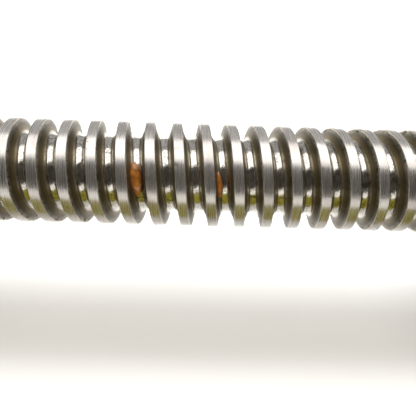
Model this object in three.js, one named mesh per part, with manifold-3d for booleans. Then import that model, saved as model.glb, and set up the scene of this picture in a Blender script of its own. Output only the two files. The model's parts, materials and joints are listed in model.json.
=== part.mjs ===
// A ball screw assembly: a 20 mm screw with a 5 mm lead, its recirculating ball nut, and the two
// pillow blocks that carry it. Millimetres, +Z up. The screw lies along +X. The origin is the centre
// of the fixed block's base face, straight below the screw's axis.
//
// The screw turns in the two blocks. The nut doesn't turn, and travels one lead for each turn.
import * as THREE from "three";
import { mergeVertices } from "three/addons/utils/BufferGeometryUtils.js";
import Module from "manifold-3d";

const wasm = await Module();
wasm.setup();

// ---- Driving dimensions ----
const AXIS_HEIGHT = 25; // the screw's axis above the blocks' base faces
const LEAD = 5;
const SCREW_R = 9.82;
const ROOT_R = 6.92; // floor of the deep ball groove
const GROOVE_MOUTH = 3.25; // groove width at the screw's outside
const BALL_R = 3.175 / 2;
const BALL_CIRCLE_R = 9.55; // ball centres, just inside the screw's outside
const RUNNING_GAP = 0.1; // between a ball and the groove it rolls in
const FIT_GAP = 0.1; // between two turned pieces that fit together
const FACE_GAP = 0.1; // between two faces that touch

// The screw, along X.
const DRIVE_END = -50;
const DRIVE_R = 5; // plain journal for a coupling
const SEAT_R = 6; // bearing seat and lock nut thread on the fixed side
const SEAT_START = -29;
const THREAD_START = 19.2;
const THREAD_END = 192;
const THREAD_CHAMFER = 1.2;
const GROOVE_FLOOR_HALF = 0.8; // half the width of the groove's flat floor
const FLANK_BEND_X = 0.88; // where a flank eases into the floor, as a share of the mouth
const FLANK_BEND_DEPTH = 0.45; // and as a share of the depth
const FAR_SHOULDER_R = 6.5;
const FAR_SEAT_R = 5; // bearing seat on the floating side
const FAR_SEAT_START = 200;
const SCREW_END = 212;
const DRIVE_CHAMFER = 0.7;
const SEAT_CHAMFER = 0.5;

// The circlip on the screw's floating end, and its groove.
const SHAFT_CLIP_X = 208.45;
const SHAFT_CLIP_THICK = 0.9;
const SHAFT_CLIP_R = 6.6;
const SHAFT_CLIP_DEPTH = 0.35; // of its groove
const SHAFT_CLIP_PLAY = 0.15; // along X, on each side

// Circlips of both kinds: the gap, and the eyes on each side of it.
const CLIP_GAP_HALF = 1.05;
const CLIP_EYE_R = 1.35;
const CLIP_EYE_Y = 2.25;
const CLIP_EYE_HOLE_R = 0.6;
const CLIP_EYE_IN = 0.2; // how far an eye's centre is from the ring's edge

// The lock nut: a slotted ring with two set screws.
const LOCK_NUT_WIDTH = 8;
const LOCK_NUT_X = -22.3;
const LOCK_NUT_R = 11;
const LOCK_SLOT_HALF = 1.6;
const LOCK_SLOT_FROM = 9.4;
const SET_SCREW = { from: 6.4, to: 10.6, r: 1.4, socketDepth: 1.5 };
const SET_SCREW_HOLE_R = 1.6;

// The ball nut. Its own x = 0 is its flanged end.
const NUT_X = 26;
const NUT_LENGTH = 52;
const NUT_R = 20;
const FLANGE_R = 31;
const FLANGE_THICK = 11;
const FLANGE_FLAT = 22.5; // height of the flange's two flats above and below the axis
const FLANGE_HOLE_R = 3.3;
const FLANGE_HOLE_CIRCLE_R = 25.5;
const FLANGE_HOLE_ANGLES = [0, 45, 135, 180, 225, 315];
const NUT_BORE_R = 10.15;
const NUT_GROOVE_R = 1.7;
const WIPER_R = 14;
const WIPER_DEPTH = 5.6;
const WIPER_WIDTH = 4;
const WIPER_INSET = 1.4;
const WIPER_GAP = 0.2; // between a wiper and the screw
const WIPER_CLIP = { inner: 12.4, thick: 0.9, inset: 0.4 };
const FLANGE_CHAMFER = 0.8;
const NUT_CHAMFER = 1;
const GREASE_HOLE_R = 2.6;
const GREASE_HOLE_DEPTH = 6;
const TUBE_FLAT = 13.2; // height above the axis of the flat that the return tubes lie on
const TUBE_FLAT_FROM = 12.2;
const TUBE_FLAT_TO = 44.5;

// Each ball circuit starts on the groove at a half turn, runs one and a half turns, and comes back
// through a tube over the top. The groove's centre passes angle 0 at x = 0.
const CIRCUIT_TURNS = [8, 11];
const CIRCUIT_SWEEP = 3 * Math.PI;
const TUBE_R = 2.3;
const TUBE_BORE_R = 1.75;
const TUBE_TOP = TUBE_FLAT + TUBE_R + 0.3; // centreline of the tube's run over the top
const TUBE_BEND = 5;
const TUBE_HOLE_GAP = 0.35; // between a tube and the nut's hole for it
const BALL_NECK_R = 0.45; // where a ball train's neighbouring balls touch
const POINTS_PER_BALL = 3;

// The saddle over both tubes, on the middle of the nut's flat.
const CLAMP_X = NUT_X + 27.75;
const CLAMP_SKEW = 0.507; // how far X moves along it for each Y
const CLAMP_SCREW_Y = 12;
const CLAMP_THICK = 2.1;
const CLAMP_TOP = TUBE_TOP + TUBE_R + CLAMP_THICK;
const CLAMP_RIB = [3.6, 14.2]; // half sizes along X and Y
const CLAMP_PLATE = [10.5, 4.6];
const CLAMP_HOLE_R = 1.8;
const CLAMP_TAP_FROM = 4.5;
const CLAMP_TAP_DEPTH = 12;
const SOCKET_SHARE = 0.55; // a socket's size as a share of the screw's head
const SMALL_SCREW = { r: 1.5, headR: 2.75, headHeight: 3 };
const CLAMP_SCREW_LENGTH = 14;

// The grease nipple, as [x, radius] points from its hexagon's underside.
const NIPPLE_HEXAGON_R = 4;
const NIPPLE_HEXAGON_HEIGHT = 2.6;
const NIPPLE_PROFILE = [[-5, 0], [-5, 2.4], [2, 2.4], [4.4, 1.7], [5.2, 2.3], [6.6, 1.5], [6.6, 0]];

// Bearings: width along X, and radii.
const BEARING_WIDTH = 8;
const FIXED_BEARING = { bore: SEAT_R, outside: 14, balls: 10.1, ballR: 2.3, count: 9 };
const FAR_BEARING = { bore: FAR_SEAT_R, outside: 13, balls: 9.1, ballR: 2.3, count: 8 };
const RACE_LIP = 1.6; // from the ball circle to a ring's shoulder
const RACE_HALF = 1.75; // half the width of a race, and of its flat bottom
const RACE_FLOOR_HALF = 1;
const RACE_GAP = 0.15; // between a ball and its race
const CAGE_HALF_WIDTH = 1.1;
const CAGE_HALF_THICK = 0.7;

// The pillow blocks.
const BLOCK_WIDTH = 60;
const BLOCK_SHOULDER = 32.5;
const BLOCK_HEIGHT = 43;
const BLOCK_HEAD = 36; // width of the block above its shoulders
const BLOCK_BOLT_SPACING = 46;
const BLOCK_BOLT_R = 3.3;
const BLOCK_SINK_R = 5.6;
const BLOCK_SINK_DEPTH = 6.5;
const FIXED_LENGTH = 25;
const FAR_X = 204;
const FAR_LENGTH = 20;
const BLOCK_FOOT_CHAMFER = 1.5;
const BLOCK_HEAD_CHAMFER = 5;
const FIXED_BEARINGS_FROM = -6.2;
const FIXED_SEAT_FROM = -6.5; // the bottom of the fixed bearings' seat
const FAR_SEAT_LIP = 0.2; // from the far bearing to the bottom of its seat
const FAR_OPENING_R = 10.5;
const BORE_CLIP = { inner: 11.8, outer: 13.6, thick: 1, x: 4.4 };
const BORE_CLIP_GROOVE = { from: 4.2, to: 5.6, depth: 0.9 };
const LID_SIZE = 35;
const LID_THICK = 5;
const LID_BOLT_AT = 13.2; // each lid bolt's distance from the axis along Y and along Z
const SEAL_R = 10;
const LID_TAP_FROM = 4;
const LID_TAP_R = 1.8;
const LID_HOLE_R = 2;
const LID_SCREW_LENGTH = 11;
const SEAL_WIDTH = 4;
const SEAL_GAP = 0.15;
const SEAL_INSET = 0.4;
const COLLAR_R = 8;

const TURN = 2 * Math.PI;
const SIDES = 16; // sides of a turned piece
const FINE_SIDES = 24; // sides of a large one
const HOLE_SIDES = 8;
const HEX = 6;
const THREAD_STEPS = 12; // steps in each turn of a helical piece
const AROUND = 1.2; // how far a cutting tool runs past what it cuts
const WIDE = 40; // half the size of a tool that cuts right across a piece

// ---- Materials ----
const steel = (color, roughness, metalness = 1) =>
  new THREE.MeshStandardMaterial({ color, roughness, metalness });
const MATERIAL = {
  screw: steel(0xb4b0aa, 0.28),
  nut: steel(0x8d8c8a, 0.38),
  tube: steel(0xc2c2c0, 0.3),
  ball: steel(0xd6d6d6, 0.08),
  bearing: steel(0xc6c7c8, 0.15),
  collar: steel(0x6d6d6e, 0.35),
  block: steel(0x26272a, 0.5, 0.6),
  bolt: steel(0x1c1c1e, 0.45, 0.8),
  clip: steel(0x3a3b3d, 0.35),
  fitting: steel(0xb89a4c, 0.3),
  wiper: steel(0xd8d2c0, 0.6, 0),
  seal: steel(0x1a1a1a, 0.7, 0),
};

// ---- Solids ----

// A geometry as a manifold-3d solid, with its faces turned outwards.
function solidOf(geometry) {
  const bare = geometry.index ? geometry.toNonIndexed() : geometry.clone();
  bare.deleteAttribute("normal");
  bare.deleteAttribute("uv");
  const merged = mergeVertices(bare, 1e-4);
  const faces = [];
  for (let i = 0; i < merged.index.count; i += 3) {
    const [a, b, c] = merged.index.array.slice(i, i + 3);
    if (a !== b && b !== c && a !== c) faces.push(a, b, c);
  }
  const build = (order) =>
    new wasm.Manifold(
      new wasm.Mesh({
        numProp: 3,
        vertProperties: merged.attributes.position.array,
        triVerts: new Uint32Array(order),
      }),
    );
  const made = build(faces);
  return made.volume() < 0 ? build(faces.reverse()) : made;
}

function meshOf(name, solid, material) {
  const made = solid.getMesh();
  const geometry = new THREE.BufferGeometry();
  geometry.setAttribute("position", new THREE.BufferAttribute(made.vertProperties, 3));
  geometry.setIndex(new THREE.BufferAttribute(made.triVerts, 1));
  geometry.computeVertexNormals();
  const mesh = new THREE.Mesh(geometry, material);
  mesh.name = name;
  return mesh;
}

const join = (first, ...others) => others.reduce((a, b) => a.add(b), first);
const cut = (first, ...others) => others.reduce((a, b) => a.subtract(b), first);

// The radius at which a hollow with this many sides nowhere comes inside r.
const hollow = (r, sides = SIDES) => r / Math.cos(Math.PI / sides);

// A piece turned about the X axis from [x, radius] points.
function turned(profile, sides = SIDES) {
  const points = profile.map(([x, r]) => new THREE.Vector2(r, x));
  return solidOf(new THREE.LatheGeometry(points, sides).rotateZ(-Math.PI / 2));
}

// A plain cylinder about the X axis.
const rod = (from, to, r, sides = SIDES) =>
  turned([[from, 0], [from, r], [to, r], [to, 0]], sides);

// A ring about the X axis. Its hole's sides stay outside the inner radius.
function ring(from, to, inner, outer, sides = SIDES) {
  const r = hollow(inner, sides);
  return turned([[from, r], [from, outer], [to, outer], [to, r], [from, r]], sides);
}

// A cylinder standing along Z, with its lower end at z.
function post(x, y, z, height, r, sides = 10) {
  const geometry = new THREE.CylinderGeometry(r, r, height, sides).rotateX(Math.PI / 2);
  return solidOf(geometry.translate(x, y, z + height / 2));
}

function box(from, to) {
  const size = to.map((v, i) => v - from[i]);
  const centre = to.map((v, i) => (v + from[i]) / 2);
  return solidOf(new THREE.BoxGeometry(...size).translate(...centre));
}

// A socket head screw along X, its head's underside at x = 0 and its shank towards -X.
function socketScrew(length) {
  const { r, headR, headHeight } = SMALL_SCREW;
  const head = rod(0, headHeight, headR, 12);
  const shank = rod(-length, headHeight / 2, r, HOLE_SIDES);
  const socket = rod(headHeight / 2, headHeight + AROUND, headR * SOCKET_SHARE, HEX);
  return cut(join(head, shank), socket);
}

// A rod whose outline is the profile's [x, radius] points, repeated every lead and carried round a
// right-hand helix. It's longer than from..to, so it is then trimmed to its envelope.
function helicalRod(profile, from, to) {
  const perTurn = profile.length;
  const firstTurn = Math.floor(from / LEAD) - 2;
  const rows = (Math.ceil((to - from) / LEAD) + 3) * perTurn;
  const positions = [];
  const index = [];
  const vertex = new Map();
  const at = (step, row) => {
    if (step === THREAD_STEPS) return at(0, row + perTurn);
    const key = step * 1e5 + row;
    if (!vertex.has(key)) {
      const [x, r] = profile[row % perTurn];
      const angle = (TURN * step) / THREAD_STEPS;
      const turns = firstTurn + Math.floor(row / perTurn) + step / THREAD_STEPS;
      positions.push(x + LEAD * turns, r * Math.cos(angle), r * Math.sin(angle));
      vertex.set(key, positions.length / 3 - 1);
    }
    return vertex.get(key);
  };
  for (let step = 0; step < THREAD_STEPS; step++)
    for (let row = 0; row < rows; row++) {
      const [a, b] = [at(step, row), at(step, row + 1)];
      const [c, d] = [at(step + 1, row), at(step + 1, row + 1)];
      index.push(a, c, b, b, c, d);
    }
  const cap = (row, x, flip) => {
    const loop = [];
    for (let step = 0; step <= THREAD_STEPS; step++) loop.push(at(step, row));
    for (let back = perTurn - 1; back > 0; back--) loop.push(at(0, row + back));
    const centre = positions.push(x, 0, 0) / 3 - 1;
    loop.forEach((a, i) => {
      const b = loop[(i + 1) % loop.length];
      index.push(...(flip ? [centre, a, b] : [centre, b, a]));
    });
  };
  cap(0, LEAD * firstTurn, false);
  cap(rows, LEAD * (firstTurn + rows / perTurn + 1), true);
  const geometry = new THREE.BufferGeometry();
  geometry.setAttribute("position", new THREE.Float32BufferAttribute(positions, 3));
  geometry.setIndex(index);
  return solidOf(geometry);
}

// A round bar through the points, with a radius for each. A closed one joins its last point to its
// first, and its sections are turned a little each so that the last one meets the first.
function bar(points, radii, sides, closed = false) {
  const n = points.length;
  const tangents = points.map((p, i) => {
    const before = points[closed ? (i + n - 1) % n : Math.max(i - 1, 0)];
    const after = points[closed ? (i + 1) % n : Math.min(i + 1, n - 1)];
    return after.clone().sub(before).normalize();
  });
  const normals = [new THREE.Vector3(1, 0, 0).cross(tangents[0]).normalize()];
  for (let i = 1; i < n; i++) {
    const turn = new THREE.Quaternion().setFromUnitVectors(tangents[i - 1], tangents[i]);
    normals.push(normals[i - 1].clone().applyQuaternion(turn));
  }
  let twist = 0;
  if (closed) {
    const turn = new THREE.Quaternion().setFromUnitVectors(tangents[n - 1], tangents[0]);
    const last = normals[n - 1].clone().applyQuaternion(turn);
    twist = Math.atan2(last.clone().cross(normals[0]).dot(tangents[0]), last.dot(normals[0]));
  }
  const positions = [];
  const index = [];
  points.forEach((p, i) => {
    const start = normals[i].clone().applyAxisAngle(tangents[i], (twist * i) / n);
    for (let s = 0; s < sides; s++) {
      const spoke = start.clone().applyAxisAngle(tangents[i], (TURN * s) / sides);
      positions.push(...p.clone().addScaledVector(spoke, radii[i]).toArray());
    }
  });
  for (let i = 0; i < (closed ? n : n - 1); i++)
    for (let s = 0; s < sides; s++) {
      const [a, b] = [i * sides + s, i * sides + ((s + 1) % sides)];
      const next = ((i + 1) % n) * sides;
      const [c, d] = [next + s, next + ((s + 1) % sides)];
      index.push(a, b, c, b, d, c);
    }
  if (!closed)
    for (let s = 1; s < sides - 1; s++) {
      index.push(0, s + 1, s);
      index.push((n - 1) * sides, (n - 1) * sides + s, (n - 1) * sides + s + 1);
    }
  const geometry = new THREE.BufferGeometry();
  geometry.setAttribute("position", new THREE.Float32BufferAttribute(positions, 3));
  geometry.setIndex(index);
  return solidOf(geometry);
}

// ---- The screw and what turns with it ----

// One lead of the screw's outline: a flat floor, steep flanks that ease into it, and a flat land.
function screwProfile() {
  const mouth = GROOVE_MOUTH / 2;
  const depth = SCREW_R - ROOT_R;
  const half = [
    [GROOVE_FLOOR_HALF, ROOT_R],
    [mouth * FLANK_BEND_X, SCREW_R - depth * FLANK_BEND_DEPTH],
    [mouth, SCREW_R],
  ];
  return [...half, ...half.map(([x, r]) => [LEAD - x, r]).reverse()];
}

function screwShaft() {
  const thread = helicalRod(screwProfile(), THREAD_START, THREAD_END);
  const envelope = turned(
    [
      [THREAD_START, 0],
      [THREAD_START, SCREW_R - THREAD_CHAMFER],
      [THREAD_START + THREAD_CHAMFER, SCREW_R + FIT_GAP],
      [THREAD_END - THREAD_CHAMFER, SCREW_R + FIT_GAP],
      [THREAD_END, SCREW_R - THREAD_CHAMFER],
      [THREAD_END, 0],
    ],
    FINE_SIDES,
  );
  const journal = turned([
    [DRIVE_END, 0],
    [DRIVE_END, DRIVE_R - DRIVE_CHAMFER],
    [DRIVE_END + DRIVE_CHAMFER, DRIVE_R],
    [SEAT_START, DRIVE_R],
    [SEAT_START, SEAT_R - SEAT_CHAMFER],
    [SEAT_START + SEAT_CHAMFER, SEAT_R],
    [THREAD_START + 1, SEAT_R],
    [THREAD_START + 1, 0],
  ]);
  const farJournal = turned([
    [THREAD_END - 1, 0],
    [THREAD_END - 1, FAR_SHOULDER_R],
    [FAR_SEAT_START, FAR_SHOULDER_R],
    [FAR_SEAT_START, FAR_SEAT_R],
    [SCREW_END - SEAT_CHAMFER, FAR_SEAT_R],
    [SCREW_END, FAR_SEAT_R - SEAT_CHAMFER],
    [SCREW_END, 0],
  ]);
  const clipGroove = ring(
    SHAFT_CLIP_X - SHAFT_CLIP_PLAY,
    SHAFT_CLIP_X + SHAFT_CLIP_THICK + SHAFT_CLIP_PLAY,
    FAR_SEAT_R - SHAFT_CLIP_DEPTH,
    FAR_SEAT_R + AROUND,
  );
  return cut(join(thread.intersect(envelope), journal, farJournal), clipGroove);
}

function lockNut() {
  let made = ring(0, LOCK_NUT_WIDTH, SEAT_R + FIT_GAP, LOCK_NUT_R);
  for (let i = 0; i < 4; i++) {
    const slot = box(
      [-AROUND, -LOCK_SLOT_HALF, LOCK_SLOT_FROM],
      [LOCK_NUT_WIDTH + AROUND, LOCK_SLOT_HALF, LOCK_NUT_R + AROUND],
    );
    made = made.subtract(slot.rotate([45 + 90 * i, 0, 0]));
  }
  const screwHole = (angle) =>
    post(LOCK_NUT_WIDTH / 2, 0, SEAT_R - AROUND, LOCK_NUT_R, SET_SCREW_HOLE_R, HOLE_SIDES)
      .rotate([angle, 0, 0]);
  return cut(made, screwHole(0), screwHole(90));
}

function setScrew() {
  const { from, to, r, socketDepth } = SET_SCREW;
  return cut(rod(from, to, r, HOLE_SIDES), rod(to - socketDepth, to + AROUND, r * SOCKET_SHARE, HEX));
}

// A circlip: a ring with a gap and two eyes, whose centres are at a radius.
function circlip(inner, outer, thick, eyeRadius) {
  const gap = box([-AROUND, -CLIP_GAP_HALF, 0], [thick + AROUND, CLIP_GAP_HALF, WIDE]);
  const eyes = [-1, 1].map((side) => {
    const place = [0, side * CLIP_EYE_Y, eyeRadius];
    const hole = rod(-AROUND, thick + AROUND, CLIP_EYE_HOLE_R, HEX);
    return cut(rod(0, thick, CLIP_EYE_R, HOLE_SIDES).translate(place), hole.translate(place));
  });
  return cut(join(ring(0, thick, inner, outer), ...eyes), gap);
}

// An external circlip has its eyes outside, and stays clear of the shaft.
const shaftClip = (inner, outer, thick) =>
  circlip(inner, outer, thick, outer + CLIP_EYE_IN).subtract(rod(-AROUND, thick + AROUND, inner));

// An internal circlip has its eyes inside.
const boreClip = (inner, outer, thick) => circlip(inner, outer, thick, inner - CLIP_EYE_IN);

// ---- Bearings ----

function raceProfile(balls, ballR, side) {
  const lip = balls - side * RACE_LIP;
  const deep = balls - side * (ballR + RACE_GAP);
  return [
    [-RACE_HALF, lip],
    [-RACE_FLOOR_HALF, deep],
    [RACE_FLOOR_HALF, deep],
    [RACE_HALF, lip],
  ];
}

function innerRing({ bore, balls, ballR }) {
  const half = BEARING_WIDTH / 2;
  const r = hollow(bore + FIT_GAP);
  const lip = balls - RACE_LIP;
  const race = raceProfile(balls, ballR, 1);
  return turned([[-half, r], [-half, lip], ...race, [half, lip], [half, r], [-half, r]]);
}

function outerRing({ outside, balls, ballR }) {
  const half = BEARING_WIDTH / 2;
  const lip = hollow(balls + RACE_LIP);
  const race = raceProfile(balls, ballR, -1).map(([x, r]) => [x, hollow(r)]);
  return turned([
    [-half, lip],
    ...race,
    [half, lip],
    [half, outside],
    [-half, outside],
    [-half, lip],
  ]);
}

// A bearing's cage with its balls.
function ballCage({ balls, ballR, count }) {
  const hoop = ring(
    -CAGE_HALF_WIDTH,
    CAGE_HALF_WIDTH,
    balls - CAGE_HALF_THICK,
    balls + CAGE_HALF_THICK,
  );
  const beads = Array.from({ length: count }, (_, i) => {
    const angle = (TURN * i) / count;
    const ball = new THREE.SphereGeometry(ballR, 6, 4);
    return solidOf(ball.translate(0, balls * Math.cos(angle), balls * Math.sin(angle)));
  });
  return join(hoop, ...beads);
}

// ---- The ball nut ----

class Helix extends THREE.Curve {
  constructor(startX, from, sweep, radius) {
    super();
    Object.assign(this, { startX, from, sweep, radius });
  }
  getPoint(t, target = new THREE.Vector3()) {
    const angle = this.from + t * this.sweep;
    const x = this.startX + (LEAD * t * this.sweep) / TURN;
    return target.set(x, this.radius * Math.cos(angle), this.radius * Math.sin(angle));
  }
}

// A circuit's way back: up a leg that carries on the groove's direction, over the top, and down.
function returnCurves(startX) {
  const slope = LEAD / (TURN * BALL_CIRCLE_R);
  const endX = startX + (LEAD * CIRCUIT_SWEEP) / TURN;
  const up = (z) => new THREE.Vector3(endX + slope * z, BALL_CIRCLE_R, z);
  const down = (z) => new THREE.Vector3(startX - slope * z, -BALL_CIRCLE_R, z);
  const [cornerA, cornerB] = [up(TUBE_TOP), down(TUBE_TOP)];
  const over = cornerB.clone().sub(cornerA).setLength(TUBE_BEND);
  const [runA, runB] = [cornerA.clone().add(over), cornerB.clone().sub(over)];
  const low = TUBE_TOP - TUBE_BEND;
  return {
    legA: new THREE.LineCurve3(up(0), up(low)),
    bendA: new THREE.QuadraticBezierCurve3(up(low), cornerA, runA),
    run: new THREE.LineCurve3(runA, runB),
    bendB: new THREE.QuadraticBezierCurve3(runB, cornerB, down(low)),
    legB: new THREE.LineCurve3(down(low), down(0)),
  };
}

// The ball train of one circuit. Neighbouring balls touch through a narrow neck.
function ballTrain(startX) {
  const loop = new THREE.CurvePath();
  loop.add(new Helix(startX, Math.PI, CIRCUIT_SWEEP, BALL_CIRCLE_R));
  Object.values(returnCurves(startX)).forEach((curve) => loop.add(curve));
  const ballCount = Math.floor(loop.getLength() / (2 * BALL_R));
  const points = loop.getSpacedPoints(POINTS_PER_BALL * ballCount).slice(0, -1);
  const ballR = BALL_R - RUNNING_GAP;
  const shoulder = Math.sqrt(ballR ** 2 - (BALL_R / POINTS_PER_BALL) ** 2);
  const radii = points.map((_, i) => (i % POINTS_PER_BALL === 0 ? BALL_NECK_R : shoulder));
  return bar(points, radii, HEX, true);
}

function tubePoints(startX, lowest) {
  const { legA, bendA, bendB, legB } = returnCurves(startX);
  const lift = (curve, z) => {
    const [a, b] = [curve.getPoint(0), curve.getPoint(1)];
    return a.lerp(b, (z - a.z) / (b.z - a.z));
  };
  return [lift(legA, lowest), ...bendA.getPoints(4), ...bendB.getPoints(4), lift(legB, lowest)];
}

// A bar of one radius along a circuit's return tube, down to a height above the axis.
function tubeBar(startX, lowest, r) {
  const points = tubePoints(startX, lowest);
  return bar(points, points.map(() => r), HOLE_SIDES);
}

function returnTube(startX) {
  const screwRoom = rod(NUT_X, NUT_X + NUT_LENGTH, hollow(NUT_BORE_R + FIT_GAP, FINE_SIDES), FINE_SIDES);
  return cut(tubeBar(startX, 1, TUBE_R), tubeBar(startX, -1, TUBE_BORE_R), screwRoom);
}

const circuitStart = (turn) => LEAD * (turn + 0.5);

// What is cut out of the nut for the screw and the balls: a rod with a round helical ridge.
function nutCore() {
  const sides = (r) => hollow(r, THREAD_STEPS);
  const reach = Math.sqrt(NUT_GROOVE_R ** 2 - (NUT_BORE_R - BALL_CIRCLE_R) ** 2);
  const half = [
    [NUT_GROOVE_R * 0.75, sides(BALL_CIRCLE_R + NUT_GROOVE_R)],
    [reach, sides(NUT_BORE_R)],
  ];
  const profile = [...half, ...half.map(([x, r]) => [LEAD - x, r]).reverse()];
  const from = NUT_X + WIPER_DEPTH - SEAT_CHAMFER;
  const to = NUT_X + NUT_LENGTH - WIPER_DEPTH + SEAT_CHAMFER;
  return helicalRod(profile, from, to).intersect(rod(from, to, WIPER_R, 12));
}

function nutBody() {
  const blank = turned(
    [
      [0, 0],
      [0, FLANGE_R - FLANGE_CHAMFER],
      [FLANGE_CHAMFER, FLANGE_R],
      [FLANGE_THICK - FLANGE_CHAMFER, FLANGE_R],
      [FLANGE_THICK, FLANGE_R - FLANGE_CHAMFER],
      [FLANGE_THICK, NUT_R],
      [NUT_LENGTH - NUT_CHAMFER, NUT_R],
      [NUT_LENGTH, NUT_R - NUT_CHAMFER],
      [NUT_LENGTH, 0],
    ],
    FINE_SIDES,
  ).translate([NUT_X, 0, 0]);
  const [low, high] = [NUT_X - AROUND, NUT_X + NUT_LENGTH + AROUND];
  const flats = box([low, -WIDE, -FLANGE_FLAT], [high, WIDE, FLANGE_FLAT]);
  const tubeFlat = box(
    [NUT_X + TUBE_FLAT_FROM, -WIDE, TUBE_FLAT],
    [NUT_X + TUBE_FLAT_TO, WIDE, WIDE],
  );
  const wiperSeat = hollow(WIPER_R + FIT_GAP);
  const holes = FLANGE_HOLE_ANGLES.map((degrees) =>
    rod(low, NUT_X + FLANGE_THICK + AROUND, FLANGE_HOLE_R, 10)
      .translate([0, FLANGE_HOLE_CIRCLE_R, 0])
      .rotate([degrees, 0, 0]),
  );
  return cut(
    blank.intersect(flats),
    tubeFlat,
    nutCore(),
    rod(low, NUT_X + WIPER_DEPTH, wiperSeat),
    rod(NUT_X + NUT_LENGTH - WIPER_DEPTH, high, wiperSeat),
    ...holes,
    ...CIRCUIT_TURNS.map((turn) => tubeBar(circuitStart(turn), 0, TUBE_R + TUBE_HOLE_GAP)),
    ...[-1, 1].map((side) => {
      const y = side * CLAMP_SCREW_Y;
      const x = CLAMP_X + CLAMP_SKEW * y;
      return post(x, y, CLAMP_TAP_FROM, CLAMP_TAP_DEPTH, CLAMP_HOLE_R, HOLE_SIDES);
    }),
    post(
      NUT_X + FLANGE_THICK / 2,
      0,
      FLANGE_FLAT - GREASE_HOLE_DEPTH,
      GREASE_HOLE_DEPTH + AROUND,
      GREASE_HOLE_R,
      HOLE_SIDES,
    ),
  );
}

// The saddle that holds both tubes down: a rib between them, and a plate over them.
function tubeClamp() {
  const skewed = ([halfX, halfY], from, to) => {
    const corners = [[-1, -1], [1, -1], [1, 1], [-1, 1]].map(
      ([x, y]) => new THREE.Vector2(x * halfX + CLAMP_SKEW * y * halfY, y * halfY),
    );
    const slab = new THREE.ExtrudeGeometry(new THREE.Shape(corners), {
      depth: to - from,
      bevelEnabled: false,
    });
    return solidOf(slab.translate(0, 0, from));
  };
  const rib = skewed(CLAMP_RIB, TUBE_FLAT + FACE_GAP, CLAMP_TOP);
  const plate = skewed(CLAMP_PLATE, TUBE_TOP + TUBE_R + FACE_GAP, CLAMP_TOP);
  const holes = [-1, 1].map((side) => {
    const y = side * CLAMP_SCREW_Y;
    return post(CLAMP_SKEW * y, y, TUBE_FLAT, WIDE, CLAMP_HOLE_R, HOLE_SIDES);
  });
  return cut(join(rib, plate), ...holes);
}

// A grease nipple standing along X from its hexagon's underside.
function greaseFitting() {
  return join(rod(0, NIPPLE_HEXAGON_HEIGHT, NIPPLE_HEXAGON_R, HEX), turned(NIPPLE_PROFILE, 10));
}

// ---- The blocks ----

function blockBlank(length) {
  const [w, head] = [BLOCK_WIDTH / 2, BLOCK_HEAD / 2];
  const [foot, top] = [BLOCK_FOOT_CHAMFER, BLOCK_HEAD_CHAMFER];
  const side = [
    [w, 0],
    [w, BLOCK_SHOULDER - foot],
    [w - foot, BLOCK_SHOULDER],
    [head, BLOCK_SHOULDER],
    [head, BLOCK_HEIGHT - top],
    [head - top, BLOCK_HEIGHT],
  ];
  const corners = [...side, ...side.map(([y, z]) => [-y, z]).reverse()];
  const outline = new THREE.Shape(corners.map(([y, z]) => new THREE.Vector2(y, z)));
  const slab = new THREE.ExtrudeGeometry(outline, { depth: length, bevelEnabled: false });
  // The outline's x and y become Y and Z, and the extrusion runs along X.
  const turn = new THREE.Matrix4().makeBasis(
    new THREE.Vector3(0, 1, 0),
    new THREE.Vector3(0, 0, 1),
    new THREE.Vector3(1, 0, 0),
  );
  return solidOf(slab.applyMatrix4(turn).translate(-length / 2, 0, -AXIS_HEIGHT));
}

// Holes down through both feet, with a sink for the bolt's head. Heights are from the axis.
function footHoles() {
  return [-1, 1].flatMap((side) => {
    const y = (side * BLOCK_BOLT_SPACING) / 2;
    return [
      post(0, y, -AXIS_HEIGHT - AROUND, BLOCK_HEIGHT, BLOCK_BOLT_R),
      post(0, y, BLOCK_SHOULDER - AXIS_HEIGHT - BLOCK_SINK_DEPTH, WIDE, BLOCK_SINK_R, 12),
    ];
  });
}

const lidBoltPlaces = [[-1, -1], [1, -1], [1, 1], [-1, 1]].map(([y, z]) => [
  y * LID_BOLT_AT,
  z * LID_BOLT_AT,
]);

function fixedHousing() {
  const half = FIXED_LENGTH / 2;
  const bearings = rod(FIXED_SEAT_FROM, half + AROUND, hollow(FIXED_BEARING.outside + FIT_GAP));
  const seal = rod(-half - AROUND, 0, hollow(SEAL_R + FIT_GAP));
  const tap = rod(LID_TAP_FROM, half + AROUND, LID_TAP_R, HOLE_SIDES);
  const taps = lidBoltPlaces.map(([y, z]) => tap.translate([0, y, z]));
  return cut(blockBlank(FIXED_LENGTH), bearings, seal, ...taps, ...footHoles());
}

// The lid that presses the fixed bearings home, with a spigot that reaches into the block.
function fixedLid() {
  const half = LID_SIZE / 2;
  const face = FIXED_LENGTH / 2 + FACE_GAP;
  const plate = box([face, -half, -half], [face + LID_THICK, half, half]);
  const spigotFrom = FIXED_BEARINGS_FROM + 2 * BEARING_WIDTH + 3 * FACE_GAP;
  const spigot = rod(spigotFrom, face + LID_THICK / 2, FIXED_BEARING.outside);
  const bore = rod(0, WIDE, hollow(SEAL_R + FIT_GAP));
  const hole = rod(0, WIDE, LID_HOLE_R, HOLE_SIDES);
  const holes = lidBoltPlaces.map(([y, z]) => hole.translate([0, y, z]));
  return cut(join(plate, spigot), bore, ...holes);
}

function farHousing() {
  const half = FAR_LENGTH / 2;
  const opening = rod(-half - AROUND, 0, hollow(FAR_OPENING_R));
  const seatR = hollow(FAR_BEARING.outside + FIT_GAP);
  const seat = rod(-BEARING_WIDTH / 2 - FAR_SEAT_LIP, half + AROUND, seatR);
  const { from, to, depth } = BORE_CLIP_GROOVE;
  const clipGroove = rod(from, to, hollow(FAR_BEARING.outside + depth));
  return cut(blockBlank(FAR_LENGTH), opening, seat, clipGroove, ...footHoles());
}

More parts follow.
